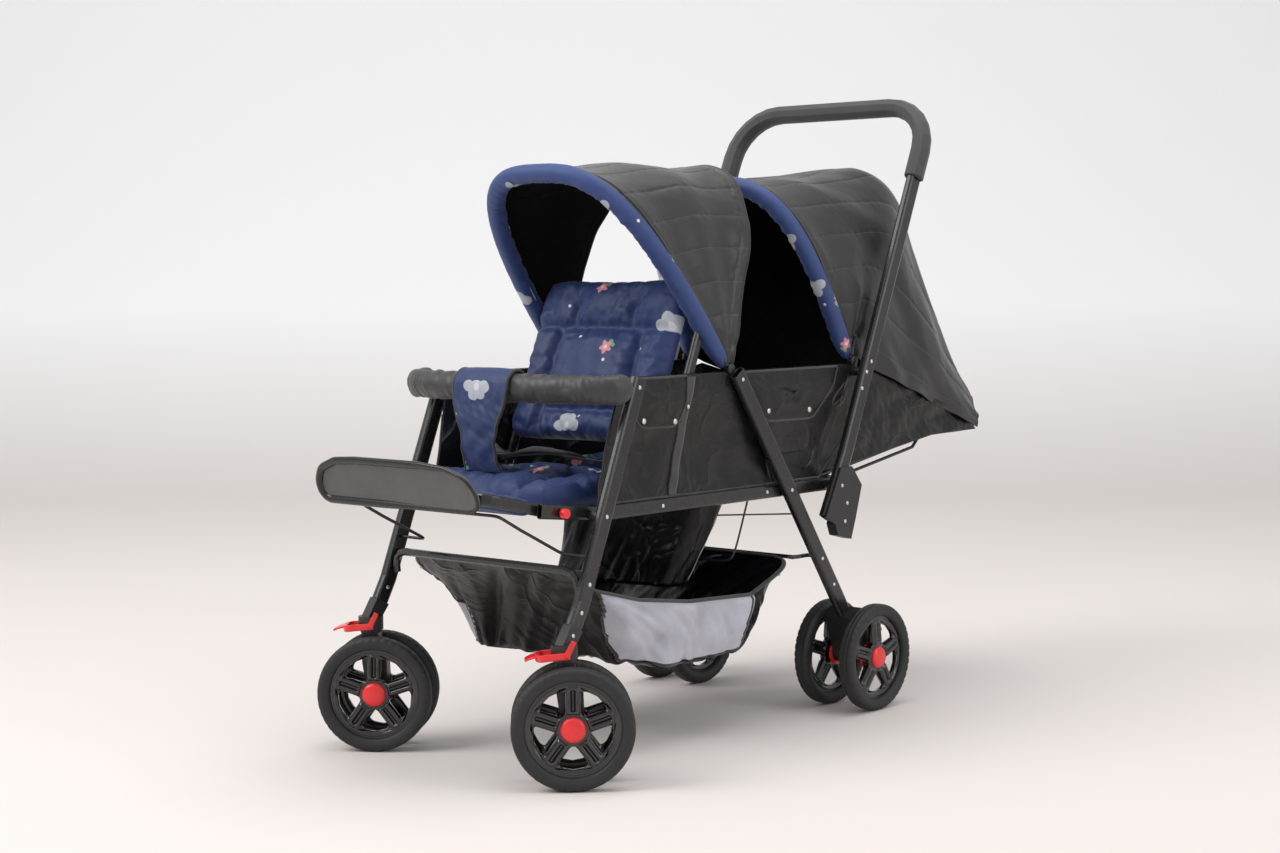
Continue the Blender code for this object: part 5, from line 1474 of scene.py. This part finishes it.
def pocket_flap(tag, side, s, seed, outline):
    """A flap that hangs from the armrest over the panel, with its bound edge."""
    def out(y, z, f):
        lift_by = 0.0034 + 0.0014 * (1 - f**3) + 0.0012 * waves(y, z, 18.0, seed + 5, 2)
        leg_away = np.abs(y - REAR_LEG_TOP[0] - (REAR_LEG_TOP[1] - z) * 0.685)
        limit = np.where((tag == "front") | (leg_away > 0.030), 0.1885, 0.1826)
        x = np.minimum(panel_x(y, z, seed) + lift_by, limit)
        hung = step(z, 0.5440, 0.5560)
        return s * (x * (1 - hung) + 0.1840 * hung)

    corners = rounded_outline(outline, [0.002, 0.002, 0.03, 0.03, 0.03, 0.03], 8)
    flap = shifted(ringed(corners, ((outline[0][0] + outline[1][0]) / 2, 0.5380), out))
    piece = cloth_sheet(f"pocket_flap_{tag}_{side}", flap, M["panel"], 1.4 * MM, wrap=True)
    line = resample(np.concatenate([flap[-1], flap[-1][:1]]), 140)[:-1]
    hem = tube(f"pocket_flap_{tag}_hem_{side}", line, oval(0.0019, 0.0019, 10), M["binding"], (0, 1, 1),
               closed=True)
    return [piece, hem]


def build_side_panels():
    """Cloth sides between armrest and rail, with piping, webbing, pocket flaps, pocket and snaps."""
    for side, s in SIDES:
        seed = 60 if s > 0 else 75
        profile = smooth_line(np.array(PANEL_PROFILE), 92)
        rows = 178
        grid = np.zeros((rows, len(profile), 3))
        for j, (x, z) in enumerate(profile):
            y = np.linspace(float(panel_front(z)), float(panel_rear(z)), rows)
            hang = panel_x(y, np.full(rows, z), seed) if j > 40 else np.full(rows, x)
            mixed = x + (hang - x) * step(j, 44, 54)
            sag = 0.0016 * np.sin(math.pi * (y - 0.12) / 0.2) * step(-z, -0.41, -RAIL_TOP)
            grid[:, j] = np.stack([s * mixed, y, z + sag * 0.4], 1)
        panel = cloth_sheet(f"side_panel_cover_{side}", shifted(grid), M["panel"], 1.1 * MM)
        fit(panel, "armrests", f"side_panel_{side}")
        trims = []
        for name, line in (("front", grid[0, 40:]), ("low", grid[:, -1]), ("rear", grid[-1, 40:])):
            line = resample(shifted(line), 120)
            trims.append(tube(f"side_panel_{name}_piping_{side}", line, oval(0.0019, 0.0019, 10), M["binding"],
                              (0, 1, 1)))

        web = np.zeros((40, 7, 3))
        for i, z in enumerate(np.linspace(0.5760, 0.3960, 40)):
            y = 0.3280 + (z - 0.5760) * 0.22 + np.linspace(-0.0095, 0.0095, 7)
            x = (panel_x(y, np.full(7, z), seed) if z < 0.556 else np.full(7, 0.1832)) + 0.0013
            web[i] = np.stack([s * np.minimum(x, 0.1842), y, np.full(7, z)], 1)
        trims.append(cloth_sheet(f"side_panel_webbing_{side}", shifted(web), M["webbing"], 1.6 * MM))

        snaps = []
        for tag, outline, buttons in FLAPS:
            trims += pocket_flap(tag, side, s, seed, outline)
            for y, z in buttons:
                x = float(panel_x(np.array([y]), np.array([z]), seed)[0]) + 0.0050
                snaps.append((s * min(x, 0.1843), y, z, s))

        def out(y, z, f):
            return s * np.minimum(panel_x(y, z, seed) + 0.0012 + 0.0032 * (1 - f**4), 0.1836)

        pocket = shifted(ringed(rounded_outline(POCKET, 0.012, 6), None, out))
        trims.append(cloth_sheet(f"pocket_bag_{side}", pocket, M["panel"], wrap=True))
        for trim in trims:
            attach(trim, "armrests")
        trims.append(studs(f"panel_snaps_{side}", "armrests", snaps, 0.0048, 0.0020))
        declare(panel, grid, (0.650, 0.235))
        fold_up([panel, *trims])


def build_bed_walls():
    """Cloth walls from the tail of the canopy down to the reclined rear backrest."""
    for side, s in SIDES:
        rows, cols = 96, 40
        grid = np.zeros((rows, cols, 3))
        f = np.linspace(0, 1, rows)
        top_y = 0.757 + f * (1.146 - 0.757)
        top_z = np.interp(top_y, [0.757, 0.790, 0.955, 1.146], [0.566, 0.572, 0.5300, 0.4585])
        low_y = 0.680 + f * (1.148 - 0.680)
        low_z = np.interp(low_y, [0.680, 0.720, 1.005, 1.148], [0.4010, 0.4040, 0.4435, 0.4460])
        for j in range(cols):
            g = j / (cols - 1)
            y = top_y + (low_y - top_y) * g
            z = top_z + (low_z - top_z) * g
            x = 0.1755 + (np.interp(f, [0, 0.3, 1], [0.1655, 0.1730, 0.1750]) - 0.1755) * g**0.8
            ripple = waves(y, z, 12.0, 90 + s, 3) * 0.0030 * math.sin(math.pi * g) ** 0.7
            grid[:, j] = np.stack([s * (x + ripple - 0.002 * math.sin(math.pi * g)), y, z], 1)
        wall = cloth_sheet(f"rear_bed_wall_{side}", shifted(grid), M["panel"], 1.1 * MM)
        n = Vector((0, -math.sin(BED_TILT), math.cos(BED_TILT)))
        foot = world(0, *BED_BEND) + n * 0.010
        u, v = lengths(grid)
        declare(wall, grid, (float(u[-1].max()), float(v[:, -1].max())))
        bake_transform(wall)


# ---------------------------------------------------------------- basket and footwell
def ring_point(turn, half, y0, y1, power):
    """A point of a rounded rectangle in plan."""
    c, s = math.cos(turn), math.sin(turn)
    x = half * math.copysign(abs(s) ** (2 / power), s)
    f = 0.5 - 0.5 * math.copysign(abs(c) ** (2 / power), c)
    return x, y0 + (y1 - y0) * f, 0.0


def bag_grid(rings, levels, around, floor_rows, sag, seed, rim_z, foot_z, ripple, power):
    """Walls and floor of a hanging bag as one grid: rows go down the wall and on to the middle.

    rings are (half width, front, rear) at even levels; rim_z and foot_z give the height at both ends.
    """
    turns = np.linspace(0, 2 * math.pi, 4001)[:-1]
    fine = through(np.array(rings), np.linspace(0, len(rings) - 1, levels))
    rows = []
    for k, (half, y0, y1) in enumerate(fine):
        loop = np.array([ring_point(t, half, y0, y1, power) for t in turns[::8]])
        loop = resample(np.concatenate([loop, loop[:1]]), around + 1)[:-1]
        down = k / (levels - 1)
        side = step(np.abs(loop[:, 0]) / half, 0.55, 0.97)
        share = (loop[:, 1] - y0) / (y1 - y0)
        loop[:, 2] = (1 - down) * rim_z(side, share) + down * foot_z(side, share)
        rows.append(loop)
    bottom = rows[-1]
    centre = bottom.mean(0)
    for k in range(1, floor_rows + 1):
        f = 1 - k / (floor_rows + 0.4)
        loop = centre + (bottom - centre) * f
        loop[:, 2] -= sag * (1 - f**2)
        rows.append(loop)
    grid = np.stack(rows)
    n = grid_normals(grid, True)
    n *= np.sign((n * (grid - centre)).sum(2).mean())
    u, _ = lengths(grid)
    loose = step(np.linspace(0, 1, grid.shape[0])[:, None], 0.0, 0.12)
    ring_at = np.linspace(0, 2 * math.pi, around, endpoint=False)[None]
    c, s = np.cos(ring_at), np.sin(ring_at)
    broad = waves(c * 0.2 + u * 0.2, s * 0.2 + u * 0.35, 7.0, seed, 2) * ripple
    fold = waves(c * 0.3 + u * 0.3, s * 0.3 + u, 13.0, seed + 1, 2) * ripple * 0.5
    return grid + n * np.minimum((broad + fold) * loose, 0.005)[..., None]


BASKET_FRONT, BASKET_REAR = 0.0625, 0.5990
BASKET_DIP = ([0.056, 0.110, 0.201, 0.321, 0.473, 0.566, 0.600],
              [0.0, 0.033, 0.050, 0.058, 0.054, 0.015, 0.0])


def basket_rim(side, share):
    """The rim falls from the front hoop to the rear rod and droops along both sides."""
    y = BASKET_FRONT + (BASKET_REAR - BASKET_FRONT) * share
    line = 0.3060 + (0.2665 - 0.3060) * share
    return line - np.interp(y, *BASKET_DIP) * side - 0.004 * np.sin(math.pi * share) ** 0.5 * (1 - side)


def basket_foot(side, share):
    return 0.1480 - 0.0180 * np.sin(math.pi * np.clip(share, 0, 1)) - 0.006 * share


def net_span(down):
    """Front and rear end of the net panel at a share of the way down the wall."""
    return 0.112 + 0.082 * down, 0.478 - 0.020 * down


HANGERS = ["basket_hanger", "footwell_stay_left", "footwell_stay_right"]
NET_X = 0.140
TABS = {"front": [(0.1850, 0.0700, 0.3040), (0.1905, 0.0640, 0.3020), (0.1960, 0.0650, 0.2960)],
        "rear": [(0.1700, 0.5960, 0.2660), (0.1715, 0.6050, 0.2670), (0.1700, 0.6130, 0.2670)]}


def basket_trim(name, line, radius, closed=False):
    """Bound edge of a bag."""
    points, side = shifted(line), (1, 0, 0)
    if closed:
        points, side = resample(np.concatenate([points, points[:1]]), 420)[:-1], (0, 0, 1)
    else:
        points = smooth_line(points, max(16, len(points) * 2))
    return tube(name, points, oval(radius * 0.55, radius, 12), M["binding"], side, closed=closed)


def bag_cover(name, grid, mats, thick, node, index=None):
    """The cloth of a bag, and the flat size it is cut from."""
    u, v = lengths(grid)
    uv = np.stack([v, u], 2)
    bag = cloth_sheet(name, shifted(grid), mats, thick, uv=uv, wrap=True, faces_mat=index)
    flat = (float(v[:, -1].max()) * 1.01, float(u[-1].max()))
    return fit(bag, "seat_frame", node), flat


def build_basket():
    """The shopping basket: nylon with a net panel in each side, bound edges, tabs and snaps."""
    rings = [(0.1840, BASKET_FRONT, BASKET_REAR), (0.1815, 0.128, 0.560), (0.1770, 0.168, 0.522),
             (0.1700, 0.190, 0.490)]
    levels, around = 34, 320
    grid = bag_grid(rings, levels, around, 14, 0.010, 101, basket_rim, basket_foot, 0.0060, 9.0)

    def netted(i, j):
        low, high = net_span(i / (levels - 1))
        return abs(grid[i, j, 0]) > NET_X and low < grid[i, j, 1] < high

    index = [int(1 <= i < levels - 2 and netted(i, j))
             for i in range(grid.shape[0] - 1) for j in range(around)]
    basket, flat = bag_cover("hanging_basket", grid, [M["basket"], M["net"]], 1.4 * MM, "basket", index)
    trims = [basket_trim("basket_rim_binding", grid[0], 0.0036, True)]
    for side, s in SIDES:
        edges = {"front": [], "rear": [], "low": []}
        for i in range(levels - 1):
            inside = [j for j in range(around) if s * grid[i, j, 0] > 0 and netted(i, j)]
            inside.sort(key=lambda j: grid[i, j, 1])
            if not inside:
                break
            edges["front"].append(grid[i, inside[0]])
            edges["rear"].append(grid[i, inside[-1]])
            edges["low"] = [grid[i, j] for j in inside]
        for name, line in edges.items():
            trims.append(basket_trim(f"basket_net_{name}_binding_{side}", np.array(line), 0.0030))
    for side, s in SIDES:
        for name, line in TABS.items():
            path = smooth_line(shifted([(s * x, y, z) for x, y, z in line]), 14)
            section = oval(0.0016, 0.0080, 14, 4.0)
            trims.append(tube(f"basket_tab_{name}_{side}", path, section, M["binding"], (0, 0, 1)))
    for piece in trims:
        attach(piece, "seat_frame")
    spots = []
    wall = grid[:levels].reshape(-1, 3)
    for _, s in SIDES:
        for y, z in ((0.092, 0.2650), (0.560, 0.2420)):
            near = wall[np.abs(wall - (s * 0.18, y, z)).sum(1).argmin()]
            spots.append((near[0] + s * 0.0008, near[1], near[2], s))
    trims.append(studs("basket_snaps", "seat_frame", spots, 0.0050, 0.0020))
    declare(basket, grid, flat)
    fold_up([basket, *trims, *(bpy.data.objects[name] for name in HANGERS)])


def build_footwell():
    """The bag for the rear rider's feet, with a bright rod sewn down each rear corner."""
    rings = [(0.1485, 0.373, 0.473), (0.1390, 0.368, 0.452), (0.1290, 0.350, 0.428), (0.1210, 0.328, 0.402)]
    levels, around = 26, 220
    grid = bag_grid(rings, levels, around, 10, 0.004, 121, lambda side, share: 0.3805 + 0 * share,
                    lambda side, share: 0.2450 - 0.005 * share, 0.0022, 5.0)
    bag, flat = bag_cover("footwell_cover", grid, M["basket"], 1.3 * MM, "footwell_bag")
    trims = [basket_trim("footwell_binding", grid[0], 0.0026, True)]
    for side, s in SIDES:
        corner = int((s * grid[12, :, 0] + 1.1 * grid[12, :, 1]).argmax())
        line = smooth_line(shifted(grid[1:levels - 1, corner]), 60)
        trims.append(tube(f"footwell_edge_{side}", line, oval(0.0017, 0.0017, 10), M["dark_steel"]))
    for trim in trims:
        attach(trim, "seat_frame")
    declare(bag, grid, flat)
    fold_up([bag, *trims])


# ---------------------------------------------------------------- stage, light and camera
TO_CAMERA = Vector((0.645, -0.764, 0)).normalized()
WALL_START, WALL_CURVE, WALL_HEIGHT, FLOOR_REACH = 3.4, 1.8, 7.0, 9.0
CAMERA_SPOT, CAMERA_TURN, CAMERA_LENS = (2.30845, -2.21875, 0.73999), (85.857, 0.445, 41.170), 60.80
SKY_LIGHT = 0.66


def backdrop_material():
    """Pale paper, darker and warmer on the floor, lighter and cooler up the wall: the change with height is
    painted light.
    """
    g = Nodes("studio_paper")
    at = g.place()
    xyz = g.split(at)
    slow = g.noise(at, 0.5, 2.0, 0.5)
    low = g.mix(g.span(slow, 0.3, 0.7), (0.705, 0.660, 0.640), (0.725, 0.682, 0.662))
    # The colour rises from the floor tone to near-white up the wall: painted light.
    colour = g.mix(g.span(xyz[2], 0.0, 0.6), low, (0.960, 0.970, 0.985))
    return g.done(Base_Color=colour, Roughness=0.85, Specular_IOR_Level=0.15)


def build_stage():
    """A pale floor that curves up into a wall behind the object."""
    along = Vector((-TO_CAMERA.y, TO_CAMERA.x, 0))
    profile = [(FLOOR_REACH, 0.0), (-WALL_START, 0.0)]
    for k in range(1, 17):
        a = math.radians(90 * k / 16)
        profile.append((-WALL_START - WALL_CURVE * math.sin(a), WALL_CURVE - WALL_CURVE * math.cos(a)))
    profile.append((-WALL_START - WALL_CURVE, WALL_HEIGHT))
    verts = []
    for d, z in profile:
        for w in (-FLOOR_REACH, FLOOR_REACH):
            p = TO_CAMERA * d + along * w
            verts.append((p.x, p.y, z))
    make("studio_floor", verts, grid_faces(len(profile), 2), backdrop_material())


def lamp(name, spot, size, power, colour=(1, 1, 1)):
    """A soft box that looks at the middle of the object."""
    data = bpy.data.lights.new(name, "AREA")
    data.shape = "RECTANGLE"
    data.size, data.size_y = size
    data.energy = power
    data.color = colour
    obj = bpy.data.objects.new(name, data)
    bpy.context.scene.collection.objects.link(obj)
    obj.location = spot
    obj.rotation_euler = (Vector((0, 0, 0.5)) - Vector(spot)).to_track_quat("-Z", "Y").to_euler()


def build_light():
    scene = bpy.context.scene
    world_light = bpy.data.worlds.new("studio")
    world_light.use_nodes = True
    back = world_light.node_tree.nodes["Background"]
    back.inputs["Color"].default_value = (1.0, 1.0, 1.0, 1)
    back.inputs["Strength"].default_value = SKY_LIGHT
    scene.world = world_light
    lamp("key", (-1.6, -3.2, 3.4), (2.6, 2.6), 118, (1.0, 0.99, 0.97))
    lamp("top", (0.3, 0.2, 3.6), (2.6, 2.6), 50)
    lamp("side", (3.6, 0.6, 2.0), (1.6, 2.4), 30, (1.0, 0.98, 0.96))
    scene.view_settings.view_transform = "Standard"


def build_camera():
    data = bpy.data.cameras.new("camera")
    data.lens = CAMERA_LENS
    data.sensor_width = 36.0
    cam = bpy.data.objects.new("camera", data)
    cam.location = world(*CAMERA_SPOT)
    cam.rotation_euler = [math.radians(a) for a in CAMERA_TURN]
    bpy.context.scene.collection.objects.link(cam)
    bpy.context.scene.camera = cam


build_wheels()
paint_kept()
build_studs()
build_foot_plate()
build_swivel_locks()
build_wires()
build_pads()
build_bumper()
build_crotch_strap()
build_harness()
build_canopy("front", FRONT_CANOPY_Y, FRONT_STATIONS, False, 96, 131)
build_canopy("rear", REAR_CANOPY_Y, REAR_STATIONS, True, 150, 151)
build_side_panels()
build_bed_walls()
build_basket()
build_footwell()
build_stage()
build_light()
build_camera()
